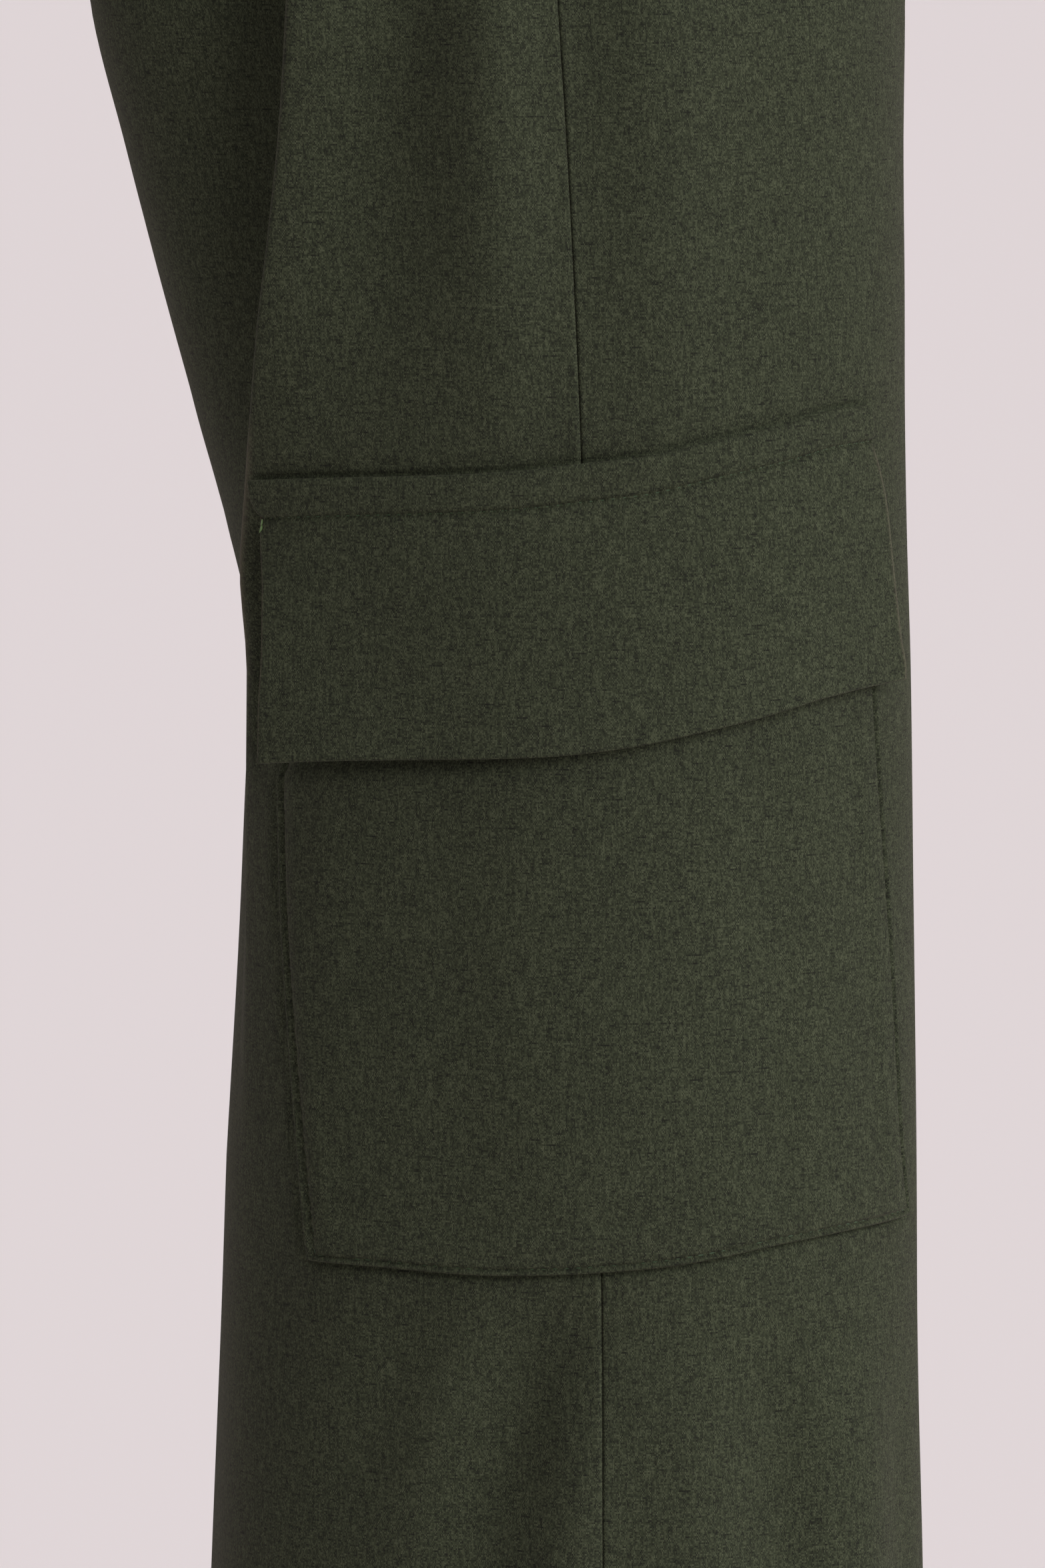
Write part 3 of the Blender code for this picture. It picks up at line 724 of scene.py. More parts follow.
def leg_panel(leg, facing, cloth, thickness):
    """Front or back of one leg, from the waist seam to the turned-up hem.

    Above the crotch the cloth is drawn to the centre line, where it meets the other leg's.
    """
    drops = panel_drops()
    reaches = panel_reaches(leg, facing, drops)
    seed = {"front": 0.4, "back": 1.9}[facing] + (0.0 if leg == "right" else 3.1)

    def place(column, row, layer):
        drop = drops[row]
        reach = reaches[row, column]
        from_side = np.abs(reach - reaches[row, 0])
        from_far = np.abs(reach - reaches[row, -1])
        lift = seam_swell(from_side, PANEL_SWELL[facing], drop, seed)
        lift = lift + seam_swell(from_far, 0.00015, drop, seed + 1.0)
        lift = lift + seam_swell(drop - drops[0], 0.0, reach, seed + 2.0)
        lift = lift - seam_turn(np.minimum(np.minimum(from_side, from_far), drop - drops[0]))
        lift = lift + slope_undulation(leg, reach, drop)
        lift = lift - pulled_in(reach, drop) - tucked_in(leg, reach, drop) - beside_pocket(reach, drop)
        wall = np.where(drop > OUTSEAM - HEM_TURN + NEAR / 2.0, 2.0, 1.0) * thickness
        fold = rounded(OUTSEAM - drop, thickness)
        lift = lift - wall * layer * fold - thickness * (1.0 - fold)
        points = cloth_points(leg, reach, drop, lift)
        last = column == reaches.shape[1] - 1
        gap = np.zeros((len(drops), 2))
        gap[row[last], layer[last]] = OUTWARD[leg] * points[last, 0] - SEAM_GAP / 2.0
        closing = smoothstep((BODY_RISE + CROTCH_FADE - drop) / CROTCH_FADE)
        closing = closing * (1.0 - smoothstep(from_far / CENTRE_FADE))
        out = OUTWARD[leg] * points[:, 0] - gap[row, layer] * closing
        points[:, 0] = OUTWARD[leg] * np.maximum(out, SEAM_GAP / 2.0)
        # The third value is the painted highlight along the deep fold's crest
        return points, np.stack((reach, -drop), axis=-1), crest_painted_highlight(leg, reach, drop)

    name = f"{facing}_{leg}"
    piece = slab(f"{name}_cloth", reaches.shape[1] - 1, len(drops) - 1, place, cloth)
    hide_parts(name)
    declare_panel(drops, reaches)
    return piece


def declare_panel(drops, reaches):
    """Work out the panel's cut, its widths with seam allowances and its area with hem; the results are
    neither kept nor returned.
    """
    widths = np.abs(reaches[:, -1] - reaches[:, 0]) + 2.0 * SEAM_ALLOWANCE
    area = float(np.sum((widths[1:] + widths[:-1]) / 2.0 * np.diff(drops)))
    area += float(widths[-1]) * HEM_TURN + float(widths[0]) * SEAM_ALLOWANCE


# ---------------------------------------------------------------- waistband


BAND_SPANS = (250,)
BAND_ROW_SPANS = (10,)


def half_round():
    """Half the way round the waist, at the middle of the waistband."""
    return float(edge_reach(BAND_DEPTH / 2.0, "front") - edge_reach(BAND_DEPTH / 2.0, "back"))


def waist_points(round_waist, drop, lift):
    """Points round the waist: 0 at the centre back, positive round the wearer's left."""
    round_waist, drop, lift = np.broadcast_arrays(round_waist, drop, lift)
    back_edge = edge_reach(drop, "back")
    half = edge_reach(drop, "front") - back_edge
    travelled = np.abs(round_waist)
    past = travelled > half
    on_left = (round_waist >= 0.0) != past
    reach = back_edge + np.where(past, 2.0 * half - travelled, travelled)
    left = cloth_points("left", reach, drop, lift)
    right = cloth_points("right", reach, drop, lift)
    return np.where(on_left[..., None], left, right)


def lap_lift(round_waist):
    """How far the waistband's lapped end stands over its other end."""
    past_lap = round_waist + half_round() - BAND_UNDERLAP - LAP_CLEAR
    return (BAND_CLOTH + LAP_GAP) * (1.0 - smoothstep(past_lap / LAP_RISE))


def waistband(cloth):
    """The waistband: one folded strip, whose wearer's right end laps over the left at the front."""
    start = -(half_round() + BAND_OVERLAP)
    end = half_round() + BAND_UNDERLAP
    ways = along_marks(marks_between(BAND_SPANS), (start, start + EDGE_STRIP, end - EDGE_STRIP, end))
    drops = along_marks(marks_between(BAND_ROW_SPANS),
                        (0.0, EDGE_STRIP, BAND_DEPTH - EDGE_STRIP, BAND_DEPTH))

    def place(column, row, layer):
        way, drop = ways[column], drops[row]
        half = BAND_CLOTH / 2.0
        edge = np.minimum(drop, np.minimum(way - start, end - way))
        outer = half * np.maximum(rounded(np.minimum(edge, BAND_DEPTH - drop), half), THIN_EDGE)
        inner = half * np.maximum(rounded(edge, half), THIN_EDGE)
        soft = 0.00012 * pucker(way, 0.8) * bell(BAND_DEPTH - drop, 0.010)
        lift = lap_lift(way) + BAND_LIFT - half + soft + np.where(layer > 0, -inner, outer)
        return waist_points(way, drop, lift), np.stack((way, -drop), axis=-1)

    piece = slab("waistband_cloth", len(ways) - 1, len(drops) - 1, place, cloth)
    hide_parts("waistband")
    return piece


# ---------------------------------------------------------------- pockets and flaps


PATCH_EDGE = (0.0, 0.0002, 0.0005, 0.0009, 0.0013, 0.0016, 0.0019, 0.0022, 0.0025, 0.0029, 0.0035, 0.0045)
EDGE_ROUND = 0.0007
SEWN_DEPTH = 0.0014
BACK_ROW = 0.0030
FRONT_ROW = 0.0018
FOOT_ROW = 0.0019
POCKET_SEWN = 0.0012


def patch_marks(length, step, fine=()):
    """Places of a patch's lines: close beside both ends and within 2 mm of any fine place."""
    close = [spot + way for spot in fine for way in np.linspace(-0.0018, 0.0018, 13)]
    low, high = PATCH_EDGE[-1] + 0.001, length - PATCH_EDGE[-1] - 0.001
    even = np.linspace(low, high, int((high - low) / step) + 1)
    even = [spot for spot in even if all(abs(spot - place) > 0.0022 for place in fine)]
    return np.array(sorted([*PATCH_EDGE, *close, *even, *(length - spot for spot in PATCH_EDGE)]))


def read_side(side, share):
    """A patch's side at the given shares of its length."""
    knots, values = np.array(side).T
    return glide(np.asarray(share, float), knots, values)


def patch_size(patch):
    """Mean width and depth of a patch."""
    shares = np.linspace(0.0, 1.0, 41)
    width = float(np.mean(read_side(patch.front, shares) - read_side(patch.back, shares)))
    depth = float(np.mean(read_side(patch.foot, shares) - read_side(patch.top, shares)))
    return width, depth


def on_patch(patch, across, down):
    """Reach and drop of places on a patch, given as shares from back to front and from the top."""
    back, front = read_side(patch.back, down), read_side(patch.front, down)
    top, foot = read_side(patch.top, across), read_side(patch.foot, across)
    return back + (front - back) * across, top + (foot - top) * down


def round_corners(x, y, width, depth, radius):
    """Draw the corners of a width by depth grid in to arcs of the given radius."""
    side = np.minimum(x, width - x)
    end = np.minimum(y, depth - y)
    from_side = np.maximum(radius - side, 0.0)
    from_end = np.maximum(radius - end, 0.0)
    far = np.hypot(from_side, from_end)
    share = np.where(far > 0.0, np.maximum(from_side, from_end) / np.where(far > 0.0, far, 1.0), 1.0)
    new_side = np.where(side < radius, radius - from_side * share, side)
    new_end = np.where(end < radius, radius - from_end * share, end)
    x = np.where(x < width / 2.0, new_side, width - new_side)
    y = np.where(y < depth / 2.0, new_end, depth - new_end)
    return x, y


def pocket_fullness(x, y, width, depth):
    """How far the pocket's middle stands off the leg."""
    return POCKET_FULLNESS * np.sin(math.pi * x / width) * np.sin(math.pi * y / depth)


def row_depth(y, depth):
    """How deep the pocket's rows of stitches are sewn in: more along its sides than at its foot."""
    return POCKET_SEWN * (1.0 + 0.40 * smoothstep((depth - y - 0.003) / 0.006))


def patch_pocket(leg, cloth, thickness, pitch):
    """The pocket bag: turned-in edges, a row of stitches near them, a little full in the middle."""
    width, depth = patch_size(POCKET)
    xs = patch_marks(width, 0.0016)
    ys = patch_marks(depth, 0.0018)

    def place(column, row, layer):
        x, y = round_corners(xs[column], ys[row], width, depth, 0.0012)
        edge = np.minimum(np.minimum(x, width - x), depth - y)
        turned = POCKET_TURN * (1.0 - smoothstep((edge - 0.0085) / 0.005))
        inset = np.minimum(np.minimum(x / BACK_ROW, (width - x) / FRONT_ROW), (depth - y) / FOOT_ROW)
        holes = 0.75 + 0.25 * np.cos(2.0 * math.pi * (x + y) / pitch)
        groove = 0.0006 + 0.0002 * smoothstep((depth - y - 0.003) / 0.006)
        sewn = row_depth(y, depth) * holes * bell((inset - 1.0) * FOOT_ROW, groove) * smoothstep(y / 0.010)
        waves = 0.00010 * pucker(x + 1.7 * y, 0.3) * bell(edge, 0.012)
        thick = (thickness + turned) * np.maximum(rounded(np.minimum(edge, y), EDGE_ROUND), 0.06)
        under = POCKET_LIFT + pocket_fullness(x, y, width, depth)
        lift = np.where(layer > 0, under, np.maximum(under + thick + waves - sewn, 0.0002))
        reach, drop = on_patch(POCKET, x / width, y / depth)
        points = cloth_points(leg, reach, drop, lift - tucked_in(leg, reach, drop))
        return points, np.stack((reach + POCKET_CUT[0], POCKET_CUT[1] - drop), axis=-1)

    piece = slab(f"pocket_{leg}_cloth", len(xs) - 1, len(ys) - 1, place, cloth)
    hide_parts(f"pocket_{leg}")
    return piece


def flap_place(leg, reach, drop, across, down, rise, sizes):
    """A point of the flap over a place on the leg, rise off the middle of the flap's thickness.

    It lies on the leg above its row of stitches. Below it stands off, and its two ends go on
    straighter than the leg does, most of all half-way down.
    """
    row = FLAP_STITCH / patch_size(FLAP)[1]
    free = np.maximum(down - row, 0.0) / (1.0 - row)
    stand = sizes.flap_stand * (1.65 - 0.75 * across) * free ** 1.5
    ripple = FLAP_RIPPLE * np.sin(across * 9.0 + 0.8) * free ** 2
    over_mouth = FLAP_OVER_MOUTH * smoothstep(down / FLAP_MOUTH)
    strip = FLAP_STRIP * bell((down - 0.4 * row) / row, 0.4)
    lift = FLAP_LIFT + over_mouth + stand + ripple + strip + sizes.flap_thickness / 2.0 + rise
    anchor = np.clip(reach, FLARE_BACK, FLARE_FRONT)
    ahead = (skin(leg, anchor + NEAR, drop) - skin(leg, anchor - NEAR, drop)) / (2.0 * NEAR)
    curved = cloth_points(leg, reach, drop, lift)
    straight = cloth_points(leg, anchor, drop, lift) + ahead * (reach - anchor)[..., None]
    swing = smoothstep(free / 0.40) * (1.0 - 0.35 * smoothstep((free - 0.60) / 0.40))
    share = np.where(reach < 0.0, sizes.flap_flare * swing, 0.7 * sizes.flap_flare * free)
    return curved + (straight - curved) * share[..., None]


def flap_points(leg, x, y, rise, sizes):
    """Points of the flap at places in it, rise off the middle of its thickness."""
    width, depth = patch_size(FLAP)
    across, down = x / width, y / depth
    reach, drop = on_patch(FLAP, across, down)
    return flap_place(leg, reach, drop, across, down, rise, sizes)


def pocket_flap(leg, cloth, sizes):
    """The flap over the pocket's mouth: sewn along a row near its top, standing off below."""
    width, depth = patch_size(FLAP)
    xs = patch_marks(width, 0.0009)
    ys = patch_marks(depth, 0.0022, fine=(FLAP_STITCH,))

    def place(column, row, layer):
        x, y = xs[column], ys[row]
        radius = np.where((x > width / 2.0) & (y < depth / 2.0), 0.0034, 0.0008)
        x, y = round_corners(x, y, width, depth, radius)
        edge = np.minimum(np.minimum(x, width - x), np.minimum(y, depth - y))
        half = sizes.flap_thickness / 2.0
        thick = half * np.maximum(rounded(edge, half), 0.06)
        holes = 0.75 + 0.25 * np.cos(2.0 * math.pi * x / sizes.stitch_pitch)
        sewn = SEWN_DEPTH * holes * bell(y - FLAP_STITCH, 0.0008)
        rise = np.where(layer > 0, -thick, thick - sewn)
        reach, drop = on_patch(FLAP, x / width, y / depth)
        points = flap_place(leg, reach, drop, x / width, y / depth, rise, sizes)
        # Painted highlight along the flap's back edge and, below its row of stitches, its front edge
        painted_highlight = np.maximum(bell(x, 0.0004), bell(width - x, 0.0010) * smoothstep((y - FLAP_STITCH) / 0.004))
        return points, np.stack((reach + FLAP_CUT[0], FLAP_CUT[1] - drop), axis=-1), painted_highlight

    piece = slab(f"flap_{leg}_cloth", len(xs) - 1, len(ys) - 1, place, cloth)
    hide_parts(f"flap_{leg}")
    return piece


# ---------------------------------------------------------------- stitches


def even_places(points, normals, pitch):
    """Points and normals of a path, read at even places about a pitch apart."""
    steps = np.linalg.norm(np.diff(points, axis=0), axis=1)
    way = np.concatenate(([0.0], np.cumsum(steps)))
    count = max(int(round(way[-1] / pitch)), 1)
    marks = np.linspace(0.0, way[-1], count + 1)
    return [np.stack([np.interp(marks, way, column) for column in given.T], axis=-1)
            for given in (points, normals)]


def stitch_row(shape, points, normals, pitch, radius):
    """Add a row of stitches to a bmesh: a grain of thread between each two needle holes."""
    holes, lift = even_places(points, normals, pitch)
    for start, end, up in zip(holes[:-1], holes[1:], (lift[:-1] + lift[1:]) / 2.0):
        middle, run = (start + end) / 2.0, end - start
        length = np.linalg.norm(run)
        if length < radius:
            continue
        run = run / length
        up = up - run * np.dot(up, run)
        up = up / np.linalg.norm(up)
        side = np.cross(up, run)
        turn = Matrix(np.column_stack((side * radius, up * radius * 0.85, run * length * 0.46)).tolist())
        place = Matrix.Translation(Vector(middle)) @ turn.to_4x4()
        bmesh.ops.create_uvsphere(shape, u_segments=6, v_segments=6, radius=1.0, matrix=place)


def sew_on_leg(shape, leg, reach, drop, lift, sizes):
    """Sew a row along places on the leg."""
    points = cloth_points(leg, reach, drop, lift)
    normals = outward_normal(leg, reach, drop)
    stitch_row(shape, points, normals, sizes.stitch_pitch, sizes.thread_radius)


def pocket_stitches(leg, thread, sizes):
    """Edge stitching down both sides of the pocket and along its foot."""
    width, depth = patch_size(POCKET)
    shape = bmesh.new()
    side = np.linspace(0.060, depth - FOOT_ROW, 160)
    foot = np.linspace(BACK_ROW, width - FRONT_ROW, 160)
    for x, y in ((np.full(160, BACK_ROW), side), (np.full(160, width - FRONT_ROW), side),
                 (foot, np.full(160, depth - FOOT_ROW))):
        reach, drop = on_patch(POCKET, x / width, y / depth)
        top = POCKET_LIFT + pocket_fullness(x, y, width, depth) + sizes.cloth_thickness + POCKET_TURN
        lift = top - row_depth(y, depth) + 0.00014 - tucked_in(leg, reach, drop)
        sew_on_leg(shape, leg, reach, drop, lift, sizes)
    return finish(f"pocket_{leg}_stitches", shape, thread)


def sew_on_flap(shape, leg, x, y, above, pitch, radius, sizes):
    """Sew a row along places on the flap, above its outer face."""
    rise = sizes.flap_thickness / 2.0 + above
    points = flap_points(leg, x, y, rise, sizes)
    normals = flap_points(leg, x, y, rise + 0.001, sizes) - points
    stitch_row(shape, points, normals, pitch, radius)


def flap_stitches(leg, thread, sizes):
    """The row of stitches that holds the flap to the leg."""
    width, _ = patch_size(FLAP)
    x = np.linspace(0.0030, width - 0.0008, 200)
    y = np.full(200, FLAP_STITCH)
    shape = bmesh.new()
    sew_on_flap(shape, leg, x, y, 0.00022 - SEWN_DEPTH, sizes.stitch_pitch, sizes.thread_radius, sizes)
    return finish(f"flap_{leg}_stitches", shape, thread)


def bar_tack(leg, tack, sizes):
    """The bright end of thread at the flap's back corner."""
    shape = bmesh.new()
    along = np.linspace(0.0, 1.0, 10)
    for strand in range(5):
        y = FLAP_STITCH - 0.0002 + (0.0040 - 0.0002 * strand) * along
        x = 0.0003 + 0.0011 * (1.0 - along) + 0.00024 * strand * (0.25 + 0.75 * along)
        sew_on_flap(shape, leg, x, y, 0.00012 + 0.00005 * strand, 0.0019, sizes.thread_radius * 0.7, sizes)
    return finish(f"flap_{leg}_thread_end", shape, tack)


def hem_stitches(leg, thread, sizes):
    """One row round the hem, near the top of its turned-up edge."""
    shape = bmesh.new()
    drop = np.full(260, OUTSEAM - HEM_TURN + 0.003)
    ends = edge_reach(drop[0], "back"), edge_reach(drop[0], "front")
    reach = np.linspace(ends[0] + 0.002, ends[1] - 0.002, 260)
    sew_on_leg(shape, leg, reach, drop, 0.00006, sizes)
    return finish(f"hem_{leg}_stitches", shape, thread)


def fly_stitches(thread, sizes):
    """The curved row beside the fly, on the side that laps over."""
    shape = bmesh.new()
    straight = FLY_DEPTH - FLY_WIDTH
    turn = np.linspace(0.0, math.pi / 2.0, 40)
    aside = np.concatenate((np.full(60, FLY_WIDTH), FLY_WIDTH * np.cos(turn)))
    down = np.linspace(BAND_DEPTH + 0.002, straight, 60)
    drop = np.concatenate((down, straight + FLY_WIDTH * np.sin(turn)))
    reach = edge_reach(drop, "front") - np.maximum(aside, 0.002)
    sew_on_leg(shape, "right", reach, drop, 0.00006, sizes)
    return finish("fly_stitches", shape, thread)


# ---------------------------------------------------------------- button and zip


def button_place():
    """The button's seat on the lap, its outward direction, and the way along the waistband."""
    centre = -half_round()
    drop = BAND_DEPTH / 2.0
    lift = BAND_LIFT + BAND_CLOTH + 2.0 * LAP_GAP
    spots = waist_points(np.array([centre - 0.001, centre, centre + 0.001]), drop, lift)
    higher = waist_points(np.array([centre]), drop, 2.0 * lift)[0]
    outward = Vector(higher - spots[1]).normalized()
    along = Vector(spots[2] - spots[0]).normalized()
    return Vector(spots[1]), outward, along


def waist_button(horn):
    """A four-hole button with a raised rim, turned from a profile."""
    seat, outward, along = button_place()
    shape = bmesh.new()
    corners = [shape.verts.new((radius, 0.0, height)) for radius, height in BUTTON_PROFILE]
    edges = [shape.edges.new(pair) for pair in zip(corners[:-1], corners[1:])]
    bmesh.ops.spin(shape, geom=corners + edges, cent=(0.0, 0.0, 0.0), axis=(0.0, 0.0, 1.0),
                   angle=2.0 * math.pi, steps=48, use_merge=True)
    bmesh.ops.remove_doubles(shape, verts=shape.verts, dist=0.00001)
    bmesh.ops.recalc_face_normals(shape, faces=shape.faces)
    turned = Matrix((along, outward.cross(along), outward)).transposed().to_4x4()
    place = Matrix.Translation(seat) @ turned
    disc = plain_object("button_blank", shape)
    drill = bmesh.new()
    for turn in range(4):
        angle = math.radians(45.0 + 90.0 * turn)
        spot = Matrix.Translation((HOLE_RING * math.cos(angle), HOLE_RING * math.sin(angle), 0.0015))
        bmesh.ops.create_cone(drill, cap_ends=True, segments=16, radius1=HOLE_RADIUS, radius2=HOLE_RADIUS,
                              depth=0.0060, matrix=spot)
    bits = plain_object("button_drill", drill)
    cut = disc.modifiers.new("holes", "BOOLEAN")
    cut.operation = "DIFFERENCE"
    cut.solver = "EXACT"
    cut.object = bits
    drilled = bmesh.new()
    drilled.from_object(disc, bpy.context.evaluated_depsgraph_get())
    for old in (disc, bits):
        bpy.data.objects.remove(old, do_unlink=True)
    bmesh.ops.transform(drilled, matrix=place, verts=drilled.verts)
    button = finish("waist_button_horn", drilled, horn, crease=35.0)
    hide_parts("waist_button")
    return button


def plain_object(name, shape):
    """A working object that is deleted once it has been used."""
    data = bpy.data.meshes.new(name)
    shape.to_mesh(data)
    shape.free()
    piece = bpy.data.objects.new(name, data)
    bpy.context.scene.collection.objects.link(piece)
    bpy.context.view_layer.update()
    return piece


def button_thread(thread, sizes):
    """The crossed threads in the button's holes."""
    seat, outward, along = button_place()
    side = outward.cross(along)
    shape = bmesh.new()
    for sign in (1.0, -1.0):
        for strand in (-1.0, 0.0, 1.0):
            first = (along + side * sign) * 0.0015
            offset = (side - along * sign) * 0.00016 * strand
            path = []
            for share in np.linspace(-1.0, 1.0, 9):
                rise = 0.0023 + 0.0003 * (1.0 - share * share)
                path.append(seat + first * float(share) + offset + outward * float(rise))
            points = np.array([tuple(point) for point in path])
            normals = np.tile(np.array(tuple(outward)), (9, 1))
            stitch_row(shape, points, normals, 0.0042, sizes.thread_radius)
    return finish("button_thread", shape, thread)


def buttonhole(thread, sizes):
    """Close stitches round the slit under the button."""
    shape = bmesh.new()
    straight = BUTTONHOLE_LENGTH - BUTTONHOLE_WIDTH
    radius = BUTTONHOLE_WIDTH / 2.0
    loop = 2.0 * straight + 2.0 * math.pi * radius
    centre = -half_round() + 0.002
    for step in range(110):
        way = loop * step / 110
        if way < straight:
            x, y, out = way - straight / 2.0, radius, (0.0, 1.0)
        elif way < straight + math.pi * radius:
            angle = math.pi / 2.0 - (way - straight) / radius
            x, y = straight / 2.0 + radius * math.cos(angle), radius * math.sin(angle)
            out = (math.cos(angle), math.sin(angle))
        elif way < 2.0 * straight + math.pi * radius:
            x, y, out = straight / 2.0 - (way - straight - math.pi * radius), -radius, (0.0, -1.0)
        else:
            angle = -math.pi / 2.0 - (way - 2.0 * straight - math.pi * radius) / radius
            x, y = -straight / 2.0 + radius * math.cos(angle), radius * math.sin(angle)
            out = (math.cos(angle), math.sin(angle))
        ends = np.array([[x - out[0] * 0.0004, y - out[1] * 0.0004],
                         [x + out[0] * 0.0010, y + out[1] * 0.0010]])
        lift = lap_lift(centre + ends[:, 0]) + BAND_LIFT + 0.00005
        points = waist_points(centre + ends[:, 0], BAND_DEPTH / 2.0 + ends[:, 1], lift)
        up = waist_points(centre + ends[:, 0], BAND_DEPTH / 2.0 + ends[:, 1], lift + 0.001) - points
        stitch_row(shape, points, up, 0.0030, sizes.thread_radius)
    return finish("buttonhole_stitches", shape, thread)


def fly_point(leg, aside, drop, depth):
    """A point behind the fly: aside from the centre front, and depth behind the cloth."""
    reach = edge_reach(drop, "front") - np.maximum(np.abs(aside), NEAR)
    return cloth_points(leg, reach, drop, -(LEG_CLOTH + ZIP_CLEAR) - depth)


def zip_tape(leg, tape):
    """One side's tape, from the centre front outwards."""
    asides = np.linspace(0.0004, TAPE_HALF, 12)
    drops = np.linspace(ZIP_TOP, ZIP_TOP + ZIP_LENGTH, 60)

    def place(column, row, layer):
        points = fly_point(leg, asides[column], drops[row], TAPE_THICKNESS * layer)
        return points, np.stack((asides[column], -drops[row]), axis=-1)

    piece = slab(f"zip_tape_{leg}", len(asides) - 1, len(drops) - 1, place, tape)
    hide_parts("fly_zip")
    return piece


def zip_chain(coil):
    """The closed coil: a tooth every pitch, from each side in turn, across the centre front."""
    shape = bmesh.new()
    count = int((ZIP_LENGTH - 0.016) / TOOTH_PITCH)
    for tooth in range(count):
        drop = ZIP_TOP + CHAIN_START + TOOTH_PITCH * tooth
        for leg, late in (("left", 0.0), ("right", 0.5)):
            at = drop + late * TOOTH_PITCH
            points = fly_point(leg, np.array([0.0004, CHAIN_HALF]), np.full(2, at), CHAIN_DEPTH)
            up = outward_normal(leg, edge_reach(np.full(2, at), "front") - 0.002, np.full(2, at))
            stitch_row(shape, points, up, 0.01, TOOTH_RADIUS)
    piece = finish("zip_coil", shape, coil)
    return piece


def zip_slider(metal):
    """The slider at the top of the closed zip: two plates and a post, with no pull tab."""
    top, foot = (fly_point("left", np.array([0.0]), np.array([ZIP_TOP + way]), CHAIN_DEPTH)[0]
                 for way in SLIDER_ENDS)
    middle = Vector((0.0, (top[1] + foot[1]) / 2.0, (top[2] + foot[2]) / 2.0))
    down = Vector((0.0, foot[1] - top[1], foot[2] - top[2])).normalized()
    side = Vector((1.0, 0.0, 0.0))
    inward = side.cross(down)
    if inward.y < 0.0:
        inward = -inward
    turned = Matrix((side, down, inward)).transposed().to_4x4()
    shape = bmesh.new()
    for spot in SLIDER_PLATE_HEIGHTS:
        made = bmesh.ops.create_cube(shape, size=1.0)["verts"]
        bmesh.ops.scale(shape, verts=made, vec=SLIDER_PLATE)
        bmesh.ops.translate(shape, verts=made, vec=(0.0, 0.0, spot - 0.0014))
    post = bmesh.ops.create_cube(shape, size=1.0)["verts"]
    bmesh.ops.scale(shape, verts=post, vec=SLIDER_POST)
    bmesh.ops.translate(shape, verts=post, vec=(0.0, -0.0025, 0.0))
    bmesh.ops.bevel(shape, geom=shape.edges[:], offset=0.0004, segments=2, profile=0.5,
                    affect="EDGES", material=-1)
    bmesh.ops.transform(shape, matrix=Matrix.Translation(middle) @ turned, verts=shape.verts)
    piece = finish("zip_slider", shape, metal, crease=35.0)
    return piece


# ---------------------------------------------------------------- finishes


class Nodes:
    """Short ways to add shader nodes to a material."""

    def __init__(self, name):
        self.material = bpy.data.materials.new(name)
        self.material.use_nodes = True
        self.tree = self.material.node_tree
        self.shader = self.tree.nodes["Principled BSDF"]

    def add(self, kind, **settings):
        """A node of a kind, with its own settings."""
        node = self.tree.nodes.new(kind)
        for key, value in settings.items():
            setattr(node, key, value)
        return node

    def feed(self, socket, value):
        """Link a socket to another node's output, or set it."""
        if isinstance(value, bpy.types.NodeSocket):
            self.tree.links.new(value, socket)
        else:
            socket.default_value = value

    def sum(self, operation, first, second=0.0, third=None):
        """A Math node's result."""
        node = self.add("ShaderNodeMath", operation=operation)
        self.feed(node.inputs[0], first)
        self.feed(node.inputs[1], second)
        if third is not None:
            self.feed(node.inputs[2], third)
        return node.outputs[0]

    def uv(self):
        """The cloth's own coordinates, in metres: across the leg and down it."""
        place = self.add("ShaderNodeUVMap", uv_map=CLOTH_UV)
        split = self.add("ShaderNodeSeparateXYZ")
        self.feed(split.inputs[0], place.outputs[0])
        return split.outputs[0], split.outputs[1]

    def noise(self, x, y, wide, tall, detail=2.0, offset=0.0):
        """Smooth noise whose grains are wide by tall, in metres."""
        join = self.add("ShaderNodeCombineXYZ")
        self.feed(join.inputs[0], self.sum("DIVIDE", x, wide))
        self.feed(join.inputs[1], self.sum("DIVIDE", y, tall))
        self.feed(join.inputs[2], offset)
        grain = self.add("ShaderNodeTexNoise")
        self.feed(grain.inputs["Vector"], join.outputs[0])
        self.feed(grain.inputs["Scale"], 1.0)
        self.feed(grain.inputs["Detail"], detail)
        return grain.outputs["Fac"]

    def scatter(self, x, y):
        """A random value for each whole pair of numbers."""
        join = self.add("ShaderNodeCombineXYZ")
        self.feed(join.inputs[0], x)
        self.feed(join.inputs[1], y)
        grain = self.add("ShaderNodeTexWhiteNoise", noise_dimensions="3D")
        self.feed(grain.inputs["Vector"], join.outputs[0])
        return grain.outputs["Value"]

    def blend(self, share, first, second):
        """A value between two others."""
        mix = self.add("ShaderNodeMix", data_type="FLOAT")
        self.feed(mix.inputs[0], share)
        self.feed(mix.inputs[2], first)
        self.feed(mix.inputs[3], second)
        return mix.outputs[0]

    def set(self, **values):
        """Set the shader's own sockets, named with underscores for spaces."""
        for key, value in values.items():
            self.shader.inputs[key.replace("_", " ")].default_value = value


def mixed(nodes, parts):
    """Sum of (value, weight) parts, each counted from its middle of a half, about a half."""
    total = 0.5
    for value, weight in parts:
        total = nodes.sum("MULTIPLY_ADD", nodes.sum("SUBTRACT", value, 0.5), weight, total)
    return total


